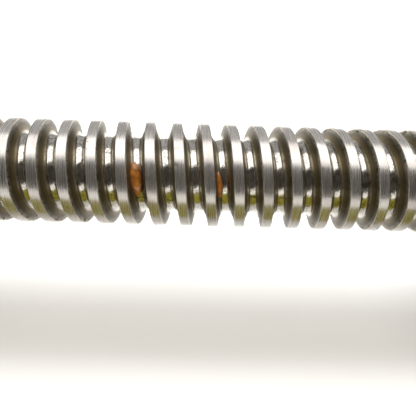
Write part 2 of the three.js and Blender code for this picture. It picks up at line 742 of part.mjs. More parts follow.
// ---- Assembly ----
const assembly = new THREE.Group();
const onAxis = new THREE.Group();
onAxis.position.z = AXIS_HEIGHT;
assembly.add(onAxis);

function add(name, solid, material, [x, y, z] = [0, 0, 0], group = onAxis) {
  const mesh = meshOf(name, solid, material);
  mesh.position.set(x, y, z);
  group.add(mesh);
  return mesh;
}

// The screw, its lock nut and the rings clamped on it.
const fixedBearings = [0, 1].map(
  (i) => FIXED_BEARINGS_FROM + BEARING_WIDTH / 2 + i * (BEARING_WIDTH + FACE_GAP),
);
const bearingsEnd = fixedBearings[1] + BEARING_WIDTH / 2;
add("screw_shaft", screwShaft(), MATERIAL.screw);
add("lock_nut", lockNut(), MATERIAL.collar, [LOCK_NUT_X, 0, 0]);
[90, 0].forEach((degrees, i) => {
  const screw = add(`lock_nut_set_screw_${i + 1}`, setScrew(), MATERIAL.bolt, [
    LOCK_NUT_X + LOCK_NUT_WIDTH / 2,
    0,
    0,
  ]);
  // One points up along +Z, the other along -Y.
  screw.rotation.set(0, degrees ? -Math.PI / 2 : 0, degrees ? 0 : -Math.PI / 2);
});
const outerCollarFrom = LOCK_NUT_X + LOCK_NUT_WIDTH + FACE_GAP;
const collar = (from, to) => ring(from, to, SEAT_R + FIT_GAP, COLLAR_R);
add(
  "outboard_collar",
  collar(outerCollarFrom, FIXED_BEARINGS_FROM - FACE_GAP),
  MATERIAL.collar,
);
add(
  "inboard_collar",
  collar(bearingsEnd + FACE_GAP, THREAD_START - FACE_GAP),
  MATERIAL.collar,
);
const shaftClipInner = FAR_SEAT_R - SHAFT_CLIP_DEPTH + SHAFT_CLIP_PLAY;
add(
  "far_shaft_circlip",
  shaftClip(shaftClipInner, SHAFT_CLIP_R, SHAFT_CLIP_THICK),
  MATERIAL.clip,
  [SHAFT_CLIP_X, 0, 0],
);

// The bearings: inner rings turn with the screw, cages at their own speed, outer rings not at all.
const bearings = [
  ["fixed_bearing_1", FIXED_BEARING, fixedBearings[0]],
  ["fixed_bearing_2", FIXED_BEARING, fixedBearings[1]],
  ["far_bearing", FAR_BEARING, FAR_X],
];
for (const [name, sizes, x] of bearings) {
  add(`${name}_inner_ring`, innerRing(sizes), MATERIAL.bearing, [x, 0, 0]);
  add(`${name}_balls_and_cage`, ballCage(sizes), MATERIAL.ball, [x, 0, 0]);
  add(`${name}_outer_ring`, outerRing(sizes), MATERIAL.bearing, [x, 0, 0]);
}

// The blocks, with the fixed one's lid, its bolts and its seals.
add("fixed_housing", fixedHousing(), MATERIAL.block);
add("fixed_lid", fixedLid(), MATERIAL.block);
const lidFace = FIXED_LENGTH / 2 + LID_THICK + 2 * FACE_GAP;
lidBoltPlaces.forEach(([y, z], i) =>
  add(`lid_bolt_${i + 1}`, socketScrew(LID_SCREW_LENGTH), MATERIAL.bolt, [lidFace, y, z]),
);
const seal = () => ring(0, SEAL_WIDTH, COLLAR_R + SEAL_GAP, SEAL_R);
add("outboard_seal", seal(), MATERIAL.seal, [-FIXED_LENGTH / 2 + SEAL_INSET, 0, 0]);
add("inboard_seal", seal(), MATERIAL.seal, [lidFace - SEAL_WIDTH - SEAL_INSET, 0, 0]);
add("far_housing", farHousing(), MATERIAL.block, [FAR_X, 0, 0]);
add(
  "far_bore_circlip",
  boreClip(BORE_CLIP.inner, BORE_CLIP.outer, BORE_CLIP.thick),
  MATERIAL.clip,
  [FAR_X + BORE_CLIP.x, 0, 0],
);

// The ball nut.
const nutEnd = NUT_X + NUT_LENGTH;
const wiper = () => ring(0, WIPER_WIDTH, SCREW_R + WIPER_GAP, WIPER_R);
add("nut_body", nutBody(), MATERIAL.nut);
add("flange_wiper", wiper(), MATERIAL.wiper, [NUT_X + WIPER_INSET, 0, 0]);
add("tail_wiper", wiper(), MATERIAL.wiper, [nutEnd - WIPER_INSET - WIPER_WIDTH, 0, 0]);
const wiperClip = () => boreClip(WIPER_CLIP.inner, WIPER_R, WIPER_CLIP.thick);
add("flange_wiper_circlip", wiperClip(), MATERIAL.clip, [NUT_X + WIPER_CLIP.inset, 0, 0]);
add("tail_wiper_circlip", wiperClip(), MATERIAL.clip, [
  nutEnd - WIPER_CLIP.inset - WIPER_CLIP.thick,
  0,
  0,
]);
CIRCUIT_TURNS.forEach((turn, i) => {
  add(`return_tube_${i + 1}`, returnTube(circuitStart(turn)), MATERIAL.tube);
  add(`ball_train_${i + 1}`, ballTrain(circuitStart(turn)), MATERIAL.ball);
});
add("tube_clamp", tubeClamp(), MATERIAL.tube, [CLAMP_X, 0, 0]);
[-1, 1].forEach((side, i) => {
  const y = side * CLAMP_SCREW_Y;
  const screw = add(`clamp_screw_${i + 1}`, socketScrew(CLAMP_SCREW_LENGTH), MATERIAL.bolt, [
    CLAMP_X + CLAMP_SKEW * y,
    y,
    CLAMP_TOP + FACE_GAP,
  ]);
  screw.rotation.y = -Math.PI / 2;
});
const fitting = add("grease_fitting", greaseFitting(), MATERIAL.fitting, [
  NUT_X + FLANGE_THICK / 2,
  0,
  FLANGE_FLAT + FACE_GAP,
]);
fitting.rotation.y = -Math.PI / 2;

export default assembly;
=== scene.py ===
"""The looks of the ball screw assembly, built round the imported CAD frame.

Shapes are worked out in millimetres about the screw's axis, x along the screw, and placed in the
frame in metres. Every piece replaces its CAD node with a finer one and rides on the same body."""
import bpy
import bmesh
import json
import math
import random
import numpy as np
from mathutils import Matrix, Vector


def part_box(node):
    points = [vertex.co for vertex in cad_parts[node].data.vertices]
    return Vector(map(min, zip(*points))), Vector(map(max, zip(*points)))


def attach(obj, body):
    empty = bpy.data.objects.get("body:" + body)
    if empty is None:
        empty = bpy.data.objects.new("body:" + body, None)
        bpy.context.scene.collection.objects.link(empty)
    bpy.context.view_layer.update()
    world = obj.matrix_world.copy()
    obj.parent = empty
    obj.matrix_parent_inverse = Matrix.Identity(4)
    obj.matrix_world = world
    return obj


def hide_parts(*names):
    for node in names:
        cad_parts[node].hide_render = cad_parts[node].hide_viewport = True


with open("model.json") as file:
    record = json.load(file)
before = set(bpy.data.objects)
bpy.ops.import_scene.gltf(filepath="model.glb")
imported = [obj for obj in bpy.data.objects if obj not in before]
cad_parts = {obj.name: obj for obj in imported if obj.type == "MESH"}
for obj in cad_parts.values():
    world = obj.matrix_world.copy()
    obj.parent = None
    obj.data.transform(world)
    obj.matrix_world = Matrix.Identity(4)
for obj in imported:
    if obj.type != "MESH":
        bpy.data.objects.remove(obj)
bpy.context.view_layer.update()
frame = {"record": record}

MM = 0.001
TURN = 2 * math.pi


def middle(node):
    """The centre of a CAD node's box, in millimetres."""
    low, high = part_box(node)
    return (low + high) / 2 / MM


def span(node):
    """Where a CAD node starts and ends along X, in millimetres."""
    low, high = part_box(node)
    return low.x / MM, high.x / MM


AXIS = middle("screw_shaft").z
LEAD = 5.0
SCREW_R = 9.82
GROOVE_DEPTH = 2.9
GROOVE_MOUTH = 3.25
ROOT_R = SCREW_R - GROOVE_DEPTH
BALL_R = 3.175 / 2
BALL_CIRCLE_R = 9.55


# ---- Mesh making ----

def to_object(name, mesh):
    thing = bpy.data.objects.new(name, mesh)
    bpy.context.scene.collection.objects.link(thing)
    return thing


def as_is(name, bm):
    """A piece with the faces just as they were made."""
    mesh = bpy.data.meshes.new(name)
    bm.to_mesh(mesh)
    bm.free()
    return to_object(name, mesh)


def from_bmesh(name, bm):
    """A piece with its doubled vertices joined and its faces turned outwards."""
    bmesh.ops.remove_doubles(bm, verts=bm.verts, dist=1e-5)
    bmesh.ops.recalc_face_normals(bm, faces=bm.faces)
    return as_is(name, bm)


def stitch(bm, a, b):
    """A band of faces between two rings of vertices."""
    for i in range(len(a)):
        j = (i + 1) % len(a)
        bm.faces.new((a[i], a[j], b[j], b[i]))


def rounded(corners, radius, closed=False, steps=3):
    """A profile with each corner rounded off. A radius can be given per corner as a third value."""
    points = [Vector(c[:2]) for c in corners]
    count = len(points)
    out = []
    for i, p in enumerate(points):
        own = corners[i][2] if len(corners[i]) > 2 else radius
        ends = not closed and i in (0, count - 1)
        if ends or own <= 0:
            out.append(tuple(p))
            continue
        a = points[i - 1] - p
        b = points[(i + 1) % count] - p
        reach = min(own, a.length * 0.45, b.length * 0.45)
        start = p + a.normalized() * reach
        end = p + b.normalized() * reach
        for k in range(steps + 1):
            t = k / steps
            out.append(tuple(start * (1 - t) ** 2 + p * 2 * t * (1 - t) + end * t * t))
    return out


def turned(name, profile, sides=96, closed=False, ripple=None):
    """A solid turned about the X axis from (x, radius) points. ripple(angle, radius, x) bends it."""
    bm = bmesh.new()
    rows = []
    for x, r in profile:
        if r < 1e-6:
            rows.append([bm.verts.new((x, 0, 0))])
            continue
        row = []
        for i in range(sides):
            angle = TURN * i / sides
            reach = ripple(angle, r, x) if ripple else r
            row.append(bm.verts.new((x, reach * math.cos(angle), reach * math.sin(angle))))
        rows.append(row)
    pairs = list(zip(rows, rows[1:]))
    if closed:
        pairs.append((rows[-1], rows[0]))
    for a, b in pairs:
        for i in range(sides):
            j = (i + 1) % sides
            loop = [a[i % len(a)], a[j % len(a)], b[j % len(b)], b[i % len(b)]]
            loop = list(dict.fromkeys(loop))
            if len(loop) > 2:
                bm.faces.new(loop)
    return from_bmesh(name, bm)


def ring(name, x0, x1, inner, outer, soft=0.25, sides=96):
    corners = [(x0, inner), (x0, outer), (x1, outer), (x1, inner)]
    return turned(name, rounded(corners, soft, True), sides, True)


def rod(name, x0, x1, r, soft=0.0, sides=64):
    return turned(name, rounded([(x0, 0), (x0, r), (x1, r), (x1, 0)], soft), sides)


def prism(name, outline, x0, x1, soft=0.0):
    """An outline of (y, z) points carried along X, with its edges rounded."""
    bm = bmesh.new()
    near = [bm.verts.new((x0, y, z)) for y, z in outline]
    far = [bm.verts.new((x1, y, z)) for y, z in outline]
    bm.faces.new(near)
    bm.faces.new(far)
    stitch(bm, near, far)
    thing = from_bmesh(name, bm)
    if soft:
        bevel(thing, soft)
    return thing


def settle(thing):
    """Applies a piece's modifiers."""
    shown = thing.evaluated_get(bpy.context.evaluated_depsgraph_get())
    mesh = bpy.data.meshes.new_from_object(shown)
    thing.modifiers.clear()
    old = thing.data
    thing.data = mesh
    bpy.data.meshes.remove(old)
    return thing


def bevel(thing, width, segments=2, angle=32):
    m = thing.modifiers.new("bevel", "BEVEL")
    m.width = width
    m.segments = segments
    m.limit_method = "ANGLE"
    m.angle_limit = math.radians(angle)
    return settle(thing)


def carve(thing, *others, how="DIFFERENCE"):
    """Cuts the others from a piece, or joins them to it, and removes them."""
    for other in others:
        m = thing.modifiers.new("carve", "BOOLEAN")
        m.object = other
        m.operation = how
        m.solver = "MANIFOLD"
        settle(thing)
        bpy.data.objects.remove(other)
    return thing


def moved(thing, place=(0, 0, 0), turns=()):
    """Turns a piece about the axes named, in degrees, then moves it."""
    matrix = Matrix.Translation(place)
    for axis, degrees in turns:
        matrix = matrix @ Matrix.Rotation(math.radians(degrees), 4, axis)
    thing.data.transform(matrix)
    return thing


def upright(thing, x, y, z):
    """A piece made along X stood up along Z with its x = 0 at the point."""
    return moved(thing, (x, y, z), [("Y", -90)])


def sweep(name, points, radii, sides=20, inner=None):
    """A round bar through the points, or a tube if inner radii are given."""
    points = [Vector(p) for p in points]
    count = len(points)
    tangents = []
    for i in range(count):
        tangents.append((points[min(i + 1, count - 1)] - points[max(i - 1, 0)]).normalized())
    normal = Vector((1, 0, 0)).cross(tangents[0]).normalized()
    bm = bmesh.new()

    def section(centre, out, side, r):
        spokes = [TURN * s / sides for s in range(sides)]
        return [bm.verts.new(centre + r * (math.cos(a) * out + math.sin(a) * side)) for a in spokes]

    outer_rows = []
    inner_rows = []
    for i in range(count):
        if i:
            normal = tangents[i - 1].rotation_difference(tangents[i]) @ normal
        side = tangents[i].cross(normal)
        outer_rows.append(section(points[i], normal, side, radii[i]))
        if inner:
            inner_rows.append(section(points[i], normal, side, inner[i]))
    loops = outer_rows + inner_rows[::-1]
    pairs = list(zip(loops, loops[1:]))
    if inner:
        pairs.append((loops[-1], loops[0]))
    else:
        bm.faces.new(loops[0])
        bm.faces.new(loops[-1])
    for a, b in pairs:
        stitch(bm, a, b)
    return from_bmesh(name, bm)


def balls(name, centres, radius, detail=3):
    bm = bmesh.new()
    for centre in centres:
        place = Matrix.Translation(centre)
        bmesh.ops.create_icosphere(bm, subdivisions=detail, radius=radius, matrix=place)
    return as_is(name, bm)


def dress(thing, body, material):
    """Puts a piece in the frame, in metres and at the axis's height, on one of its bodies."""
    thing.data.transform(Matrix.Translation((0, 0, AXIS * MM)) @ Matrix.Scale(MM, 4))
    thing.data.materials.clear()
    thing.data.materials.append(material)
    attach(thing, body)


def finish_piece(thing, node, material, sharp=28):
    """Dresses a piece, puts it on the body of the CAD node that it stands for, and hides that node."""
    body = next(b for b, nodes in frame["record"]["behaviour"]["bodies"].items() if node in nodes)
    dress(thing, body, material)
    thing.data.shade_smooth()
    thing.data.set_sharp_from_angle(angle=math.radians(sharp))
    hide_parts(node)


# ---- Materials ----

class Tree:
    """A node tree, with short calls for the nodes used here."""

    def __init__(self, tree):
        self.tree = tree

    def feed(self, inputs, values):
        """Gives each input named a constant, an RGB colour or another node's output."""
        for key, value in values.items():
            socket = inputs[key]
            if isinstance(value, bpy.types.NodeSocket):
                self.tree.links.new(value, socket)
            else:
                socket.default_value = (*value, 1) if socket.type == "RGBA" else value

    def node(self, kind, values=None, **settings):
        made = self.tree.nodes.new("ShaderNode" + kind)
        for key, setting in settings.items():
            setattr(made, key, setting)
        self.feed(made.inputs, values or {})
        return made

    def mapped(self, vector, scale, shift=(0, 0, 0)):
        values = {"Vector": vector, "Location": shift, "Scale": scale}
        return self.node("Mapping", values, vector_type="POINT").outputs["Vector"]

    def position(self):
        """The place on the piece, in millimetres, from the screw's axis."""
        where = self.node("TexCoord").outputs["Object"]
        return self.mapped(where, (1 / MM, 1 / MM, 1 / MM), (0, 0, -AXIS))

    def noise(self, vector, scale, detail=3.0, rough=0.5, distortion=0.0):
        """Noise with its own scale, in waves for each millimetre, along each axis."""
        values = {"Vector": self.mapped(vector, scale), "Scale": 1.0, "Detail": detail,
                  "Roughness": rough, "Distortion": distortion}
        return self.node("TexNoise", values).outputs["Fac"]

    def remap(self, value, low, high, to_low=0.0, to_high=1.0):
        values = {"Value": value, "From Min": low, "From Max": high, "To Min": to_low, "To Max": to_high}
        return self.node("MapRange", values, clamp=True).outputs["Result"]

    def math(self, operation, a, b):
        return self.node("Math", {0: a, 1: b}, operation=operation).outputs[0]

    def mix(self, amount, a, b):
        """A colour between two others."""
        return self.node("Mix", {0: amount, 6: a, 7: b}, data_type="RGBA").outputs[2]

    def blend(self, amount, low, high):
        """A number between two others."""
        return self.node("Mix", {0: amount, 2: low, 3: high}, data_type="FLOAT").outputs[0]

    def edge(self, radius=0.25):
        """1 on a piece's outer edges, where they wear, 0 on its faces."""
        bevelled = self.node("Bevel", {"Radius": radius * MM}, samples=4).outputs["Normal"]
        plain = self.node("NewGeometry").outputs["Normal"]
        dot = self.node("VectorMath", {0: bevelled, 1: plain}, operation="DOT_PRODUCT")
        return self.remap(dot.outputs["Value"], 0.995, 0.93)

    def bump(self, height, strength, distance, under=None):
        values = {"Height": height, "Strength": strength, "Distance": distance * MM}
        if under:
            values["Normal"] = under
        return self.node("Bump", values).outputs["Normal"]


class Nodes(Tree):
    """A new material's node tree and its shader."""

    def __init__(self, name):
        self.material = bpy.data.materials.new(name)
        self.material.use_nodes = True
        super().__init__(self.material.node_tree)
        self.shader = self.tree.nodes["Principled BSDF"]

    def shade(self, values):
        self.feed(self.shader.inputs, values)


def metal(name, colour, roughness, grain, grain_bump=0.25, stain=0.12, metallic=1.0, wear_and_reflection=None):
    """A metal with a directional machining grain, faint stains and, if wanted, bright edges from wear."""
    n = Nodes(name)
    place = n.position()
    lines = n.noise(place, grain, 4, 0.65)
    cloud = n.noise(place, (0.11, 0.13, 0.12), 5, 0.6, 0.6)
    fine = n.noise(place, (1.7, 1.9, 1.8), 3, 0.6)
    dark = tuple(c * (1 - stain * 2.2) for c in colour)
    light = tuple(min(1, c * 1.18) for c in colour)
    tone = n.mix(n.remap(cloud, 0.35, 0.68), colour, dark)
    tone = n.mix(n.remap(lines, 0.3, 0.7, 0, 0.35), tone, light)
    rough = n.remap(lines, 0.3, 0.7, roughness * 0.72, roughness * 1.25)
    rough = n.math("ADD", rough, n.remap(fine, 0.35, 0.75, -0.03, 0.06))
    if wear_and_reflection:
        rim = n.math("MULTIPLY", n.edge(), n.remap(fine, 0.3, 0.55))
        tone = n.mix(rim, tone, wear_and_reflection)
        metallic = n.math("MAXIMUM", rim, metallic)
    normal = n.bump(fine, 0.12, 0.02, n.bump(lines, grain_bump, 0.02))
    n.shade({"Base Color": tone, "Roughness": rough, "Metallic": metallic, "Normal": normal})
    return n.material


TURNED = (9.0, 0.10, 0.10)  # grain round the X axis: fine along x, long round it
GROUND = (6.0, 0.05, 0.05)
ALONG_Z = (6.0, 6.0, 0.12)
BLASTED = (3.0, 3.0, 3.0)


def screw_material():
    """Ground steel: streaked lands with painted edge highlights, polished groove floors, and flanks
    darkened partly by oily tarnish and partly by painted shade, with painted reflections on them.
    """
    n = Nodes("ground_screw_steel")
    place = n.position()
    across = n.node("VectorMath", {0: place, 1: (0, 1, 1)}, operation="MULTIPLY").outputs["Vector"]
    radius = n.node("VectorMath", {0: across}, operation="LENGTH").outputs["Value"]
    streaks = n.noise(place, (21.0, 0.06, 0.06), 4, 0.65)
    broad = n.noise(place, (1.6, 0.10, 0.10), 3, 0.6)
    cloud = n.noise(place, (0.16, 0.2, 0.2), 5, 0.62, 0.5)
    specks = n.noise(place, (3.1, 3.4, 3.3), 4, 0.6)
    pits = n.noise(place, (1.9, 2.2, 2.1), 5, 0.75, 0.4)
    grime = n.noise(place, (0.55, 0.6, 0.6), 5, 0.7, 0.8)
    land = n.remap(radius, SCREW_R - 0.10, SCREW_R - 0.05)
    lip = n.remap(radius, SCREW_R - 0.30, SCREW_R - 0.15)
    ragged = n.math("ADD", radius, n.remap(pits, 0.3, 0.7, -0.25, 0.25))
    rim = n.remap(ragged, SCREW_R - 1.2, SCREW_R - 0.5)
    throat = n.remap(radius, ROOT_R + 2.0, ROOT_R + 0.9)
    floor = n.remap(radius, ROOT_R + 0.80, ROOT_R + 0.30)
    dirty = n.remap(grime, 0.55, 0.63)
    # Deep in the groove the flank is dark partly for oily tarnish and partly as painted shade.
    deep = n.mix(n.remap(specks, 0.35, 0.65), (0.050, 0.039, 0.021), (0.095, 0.077, 0.043))
    # Low on the flank, near the floor, a lighter gold paints the flank's warm highlight.
    deep = n.mix(throat, deep, n.mix(broad, (0.24, 0.19, 0.095), (0.13, 0.10, 0.05)))
    # On the flank's outer band, the light grey is a painted reflection of the floor, with real dark pits
    # and dirt on it.
    wear_and_reflection = n.mix(n.remap(pits, 0.50, 0.60), (0.31, 0.285, 0.24), (0.04, 0.034, 0.022))
    wear_and_reflection = n.mix(dirty, wear_and_reflection, (0.03, 0.024, 0.014))
    flank = n.mix(rim, deep, wear_and_reflection)
    # The thin cream line along each land's edge is a painted highlight, with dark pits in it.
    painted_lip_highlight = n.mix(n.remap(pits, 0.53, 0.60), (0.74, 0.68, 0.55), (0.07, 0.055, 0.03))
    bright = n.mix(n.remap(streaks, 0.3, 0.7), (0.42, 0.395, 0.37), (0.62, 0.59, 0.56))
    bright = n.mix(n.remap(cloud, 0.48, 0.72, 0, 0.6), bright, (0.30, 0.26, 0.235))
    polished = n.mix(n.remap(broad, 0.35, 0.65), (0.52, 0.49, 0.44), (0.70, 0.67, 0.62))
    polished = n.mix(n.remap(specks, 0.54, 0.64, 0, 0.85), polished, (0.13, 0.11, 0.07))
    polished = n.mix(n.math("MULTIPLY", dirty, 0.55), polished, (0.05, 0.04, 0.02))
    tone = n.mix(floor, flank, polished)
    tone = n.mix(lip, tone, painted_lip_highlight)
    tone = n.mix(land, tone, bright)
    rough = n.blend(floor, 0.42, n.remap(specks, 0.35, 0.7, 0.12, 0.24))
    rough = n.blend(lip, rough, 0.32)
    rough = n.blend(land, rough, n.remap(streaks, 0.25, 0.75, 0.20, 0.33))
    metallic = n.blend(floor, 0.78, 0.97)
    metallic = n.blend(lip, metallic, 0.6)
    metallic = n.blend(land, metallic, 0.88)
    dents = n.remap(pits, 0.56, 0.66, 1, 0)
    smooth = n.math("MAXIMUM", n.math("MULTIPLY", land, 0.85), n.math("MULTIPLY", floor, 0.85))
    dented = n.math("MULTIPLY", dents, n.math("SUBTRACT", 1.0, smooth))
    grit = n.math("MULTIPLY", specks, n.math("SUBTRACT", 1.0, n.math("MULTIPLY", floor, 0.6)))
    normal = n.bump(streaks, 0.06, 0.010)
    normal = n.bump(grit, 0.26, 0.02, normal)
    normal = n.bump(dented, 0.35, 0.06, normal)
    n.shade({"Base Color": tone, "Roughness": rough, "Metallic": metallic, "Normal": normal})
    return n.material


def soft_material(name, colour, roughness, bump=0.2):
    """Plastic, rubber or dirt, with a fine grain and a little unevenness in its tone."""
    n = Nodes(name)
    place = n.position()
    fine = n.noise(place, BLASTED, 5, 0.65)
    cloud = n.noise(place, (0.3, 0.3, 0.3), 4, 0.6)
    tone = n.mix(n.remap(cloud, 0.35, 0.7), colour, tuple(c * 0.78 for c in colour))
    rough = n.remap(fine, 0.3, 0.7, roughness * 0.85, min(1, roughness * 1.15))
    n.shade({"Base Color": tone, "Roughness": rough, "Normal": n.bump(fine, bump, 0.03)})
    return n.material


def grease_material():
    """Amber oil that lets light through."""
    n = Nodes("amber_grease")
    cloud = n.noise(n.position(), (0.9, 0.9, 0.9), 3, 0.6)
    tone = n.mix(n.remap(cloud, 0.3, 0.7), (0.16, 0.045, 0.008), (0.60, 0.23, 0.04))
    n.shade({"Base Color": tone, "Roughness": 0.08, "Transmission Weight": 0.25, "IOR": 1.46,
             "Coat Weight": 0.6, "Coat Roughness": 0.05})
    return n.material


SCREW_STEEL = screw_material()
NUT_STEEL = metal("nut_ground_steel", (0.50, 0.50, 0.49), 0.30, GROUND, 0.2, 0.08)
TUBE_STEEL = metal("return_tube_steel", (0.62, 0.61, 0.59), 0.24, ALONG_Z, 0.12, 0.1)
BALL_STEEL = metal("polished_ball_steel", (0.78, 0.78, 0.78), 0.08, BLASTED, 0.02, 0.03)
RACE_STEEL = metal("bearing_ring_steel", (0.66, 0.66, 0.67), 0.16, TURNED, 0.1, 0.05)
CAGE_STEEL = metal("bearing_cage_steel", (0.48, 0.45, 0.38), 0.34, BLASTED, 0.1, 0.1)
COLLAR_STEEL = metal("oiled_collar_steel", (0.20, 0.20, 0.205), 0.30, TURNED, 0.2, 0.1,
                     1.0, (0.5, 0.5, 0.5))
BLOCK_STEEL = metal("black_oxide_block", (0.050, 0.050, 0.054), 0.42, BLASTED, 0.25, 0.12,
                    0.75, (0.30, 0.29, 0.28))
SCREW_BLACK = metal("black_oxide_screws", (0.035, 0.035, 0.037), 0.36, BLASTED, 0.15, 0.1,
                    0.8, (0.26, 0.25, 0.24))
SPRING_STEEL = metal("phosphated_spring_steel", (0.13, 0.13, 0.135), 0.34, BLASTED, 0.2, 0.1,
                     0.9, (0.4, 0.4, 0.4))
NIPPLE_BRASS = metal("yellow_plated_nipple", (0.62, 0.46, 0.19), 0.26, TURNED, 0.1, 0.12)
WIPER_PLASTIC = soft_material("wiper_acetal", (0.66, 0.62, 0.52), 0.5)
SEAL_RUBBER = soft_material("seal_rubber", (0.022, 0.022, 0.023), 0.62, 0.3)
GREASE = grease_material()
DIRT = soft_material("dried_dirt", (0.040, 0.028, 0.014), 0.55)


# ---- The screw ----

FLANK_POWERS = (2 / 2.97, 2 / 1.33)
LIP_DEPTH = 0.16  # above it, the flank's curve gives way to the lip's


def groove_profile(steps=12):
    """One lead of the thread's outline, from one groove's middle to the next, as (x, depth)."""
    mouth = GROOVE_MOUTH / 2
    flank = []
    for k in range(steps + 1):
        angle = (math.pi / 2) * k / steps
        x = mouth * math.cos(angle) ** FLANK_POWERS[0]
        flank.append((x, GROOVE_DEPTH * math.sin(angle) ** FLANK_POWERS[1]))
    flank = [p for p in flank if p[1] > LIP_DEPTH]
    lip = [(mouth, 0.07), (mouth + 0.04, 0.015), (mouth + 0.09, 0.0)]
    land = [(mouth + 0.3, 0.0), (LEAD / 2, 0.0)]
    right = flank[::-1] + lip + land
    left = [(LEAD - x, depth) for x, depth in right[:-1]][::-1]
    return right + left[:-1]


def thread(name, outline, lead, radius, x0, x1, steps, envelope):
    """A right-hand thread between two flat ends. Its groove passes +Y at multiples of the lead."""
    per_turn = len(outline)
    xs = np.array([p[0] for p in outline])
    depths = np.array([p[1] for p in outline])
    first = math.floor(x0 / lead) - 2
    turns = math.ceil((x1 - x0) / lead) + 4
    row_x = np.concatenate([xs + lead * (first + t) for t in range(turns)])
    row_r = radius - np.tile(depths, turns)
    verts = []
    for s in range(steps):
        angle = TURN * s / steps
        column = row_x + lead * s / steps
        radii = row_r.copy()
        for end in (x0, x1):
            edge = np.interp(end, column, row_r)
            outside = column < end if end == x0 else column > end
            radii[outside] = edge
            column = np.where(outside, end, column)
        radii = np.minimum(radii, [envelope(x) for x in column])
        verts.append(np.stack([column, radii * math.cos(angle), radii * math.sin(angle)], 1))
    rows = len(row_x)
    grid = np.concatenate(verts)
    faces = []
    for s in range(steps):
        wrap = per_turn if s == steps - 1 else 0
        here, there = s * rows, ((s + 1) % steps) * rows
        for i in range(rows - 1 - wrap):
            j = i + wrap
            faces.append((here + j, here + j + 1, there + i + 1, there + i))
    mesh = bpy.data.meshes.new("grid")
    mesh.from_pydata(grid.tolist(), [], faces)
    bm = bmesh.new()
    bm.from_mesh(mesh)
    bmesh.ops.remove_doubles(bm, verts=bm.verts, dist=1e-5)
    bmesh.ops.dissolve_degenerate(bm, edges=bm.edges, dist=1e-6)
    for x in (x0, x1):
        rim = [e for e in bm.edges if e.is_boundary and abs(e.verts[0].co.x - x) < 1e-4]
        bmesh.ops.edgeloop_fill(bm, edges=rim)
    bmesh.ops.recalc_face_normals(bm, faces=bm.faces)
    bpy.data.meshes.remove(mesh)
    return as_is(name, bm)


SCREW_X0, SCREW_X1 = span("screw_shaft")
THREAD_X0 = 19.2
THREAD_X1 = 192.0
SEAT_X0 = -29.0
SEAT_R = 6.0
SEAT_PITCH = 1.0  # of the lock nut's thread
FAR_SHOULDER_R = 6.5
FAR_SEAT_X0 = 200.0
FAR_SEAT_R = 5.0
JOURNAL_R = 5.0


def screw_envelope(x):
    """The screw's outside, which slopes down at each end of the thread."""
    ease = 1.2
    return SCREW_R - max(0, THREAD_X0 + ease - x, x - (THREAD_X1 - ease)) * 0.95


def nick(mesh, seed=7, count=46):
    """Small dents along the lands' edges, and a little unevenness where burrs were stoned off."""
    rng = random.Random(seed)
    co = np.empty(len(mesh.vertices) * 3)
    mesh.vertices.foreach_get("co", co)
    co = co.reshape(-1, 3)
    radius = np.hypot(co[:, 1], co[:, 2])
    angle = np.arctan2(co[:, 2], co[:, 1])
    rim = radius > SCREW_R - 0.3
    unit = np.stack([np.zeros(len(co)), np.cos(angle), np.sin(angle)], 1)
    for _ in range(count):
        a = rng.uniform(-math.pi, math.pi)
        turn = rng.randint(5, 36)
        side = rng.choice((-1, 1)) * (GROOVE_MOUTH / 2 + 0.05)
        x = LEAD * (turn + a / TURN) + side
        centre = np.array([x, SCREW_R * math.cos(a), SCREW_R * math.sin(a)])
        size = rng.uniform(0.22, 0.42)
        depth = rng.uniform(0.04, 0.12)
        gap = np.linalg.norm(co - centre, axis=1)
        near = rim & (gap < size)
        fade = (1 - (gap[near] / size) ** 2)[:, None]
        co[near] -= unit[near] * depth * fade
    mesh.vertices.foreach_set("co", co.reshape(-1))
    mesh.update()


def centre_hole(end, inward):
    """The turning centre in one end of the screw, from its bottom out to the end face."""
    return [(end + 3.2 * inward, 0, 0), (end + 0.9 * inward, 1.15, 0), (end, 1.9, 0.1)]


def make_screw():
    steps = 144
    body = thread("screw", groove_profile(), LEAD, SCREW_R, THREAD_X0, THREAD_X1, steps, screw_envelope)
    nick(body.data)
    vee = [(0.0, 0.55), (0.42, 0.03), (0.5, 0.0), (0.58, 0.03)]
    core_r = SEAT_R - 0.75
    thread_end = span("lock_nut")[1] + 0.6
    near = turned("near_journal", rounded(centre_hole(SCREW_X0, 1) + [
        (SCREW_X0, JOURNAL_R - 0.6, 0.1), (SCREW_X0 + 0.6, JOURNAL_R, 0.2),
        (SEAT_X0, JOURNAL_R, 0.1), (SEAT_X0, SEAT_R - 0.9, 0.1), (SEAT_X0 + 0.8, core_r, 0.1),
        (thread_end, core_r, 0.1), (thread_end + 0.6, SEAT_R, 0.2),
        (THREAD_X0 + 1, SEAT_R, 0), (THREAD_X0 + 1, 0, 0)], 0.2), 96)
    seat_thread = thread("seat_thread", vee, SEAT_PITCH, SEAT_R, SEAT_X0 + 0.4, thread_end, 48,
                         lambda x: SEAT_R - max(0, SEAT_X0 + 1.1 - x, x - (thread_end - 0.6)) * 0.7)
    clip_x0, clip_x1 = span("far_shaft_circlip")
    clip_x0 -= 0.1
    clip_x1 += 0.1
    clip_r = FAR_SEAT_R - 0.35
    far = turned("far_journal", rounded([
        (THREAD_X1 - 1, 0, 0), (THREAD_X1 - 1, FAR_SHOULDER_R, 0), (FAR_SEAT_X0, FAR_SHOULDER_R, 0.2),
        (FAR_SEAT_X0, FAR_SEAT_R, 0.15), (clip_x0, FAR_SEAT_R, 0.05), (clip_x0, clip_r, 0.05),
        (clip_x1, clip_r, 0.05), (clip_x1, FAR_SEAT_R, 0.05), (SCREW_X1 - 0.5, FAR_SEAT_R, 0.1),
        (SCREW_X1, FAR_SEAT_R - 0.5, 0.1)] + centre_hole(SCREW_X1, -1)[::-1], 0.2), 96)
    carve(body, near, seat_thread, far, how="UNION")
    finish_piece(body, "screw_shaft", SCREW_STEEL, 40)


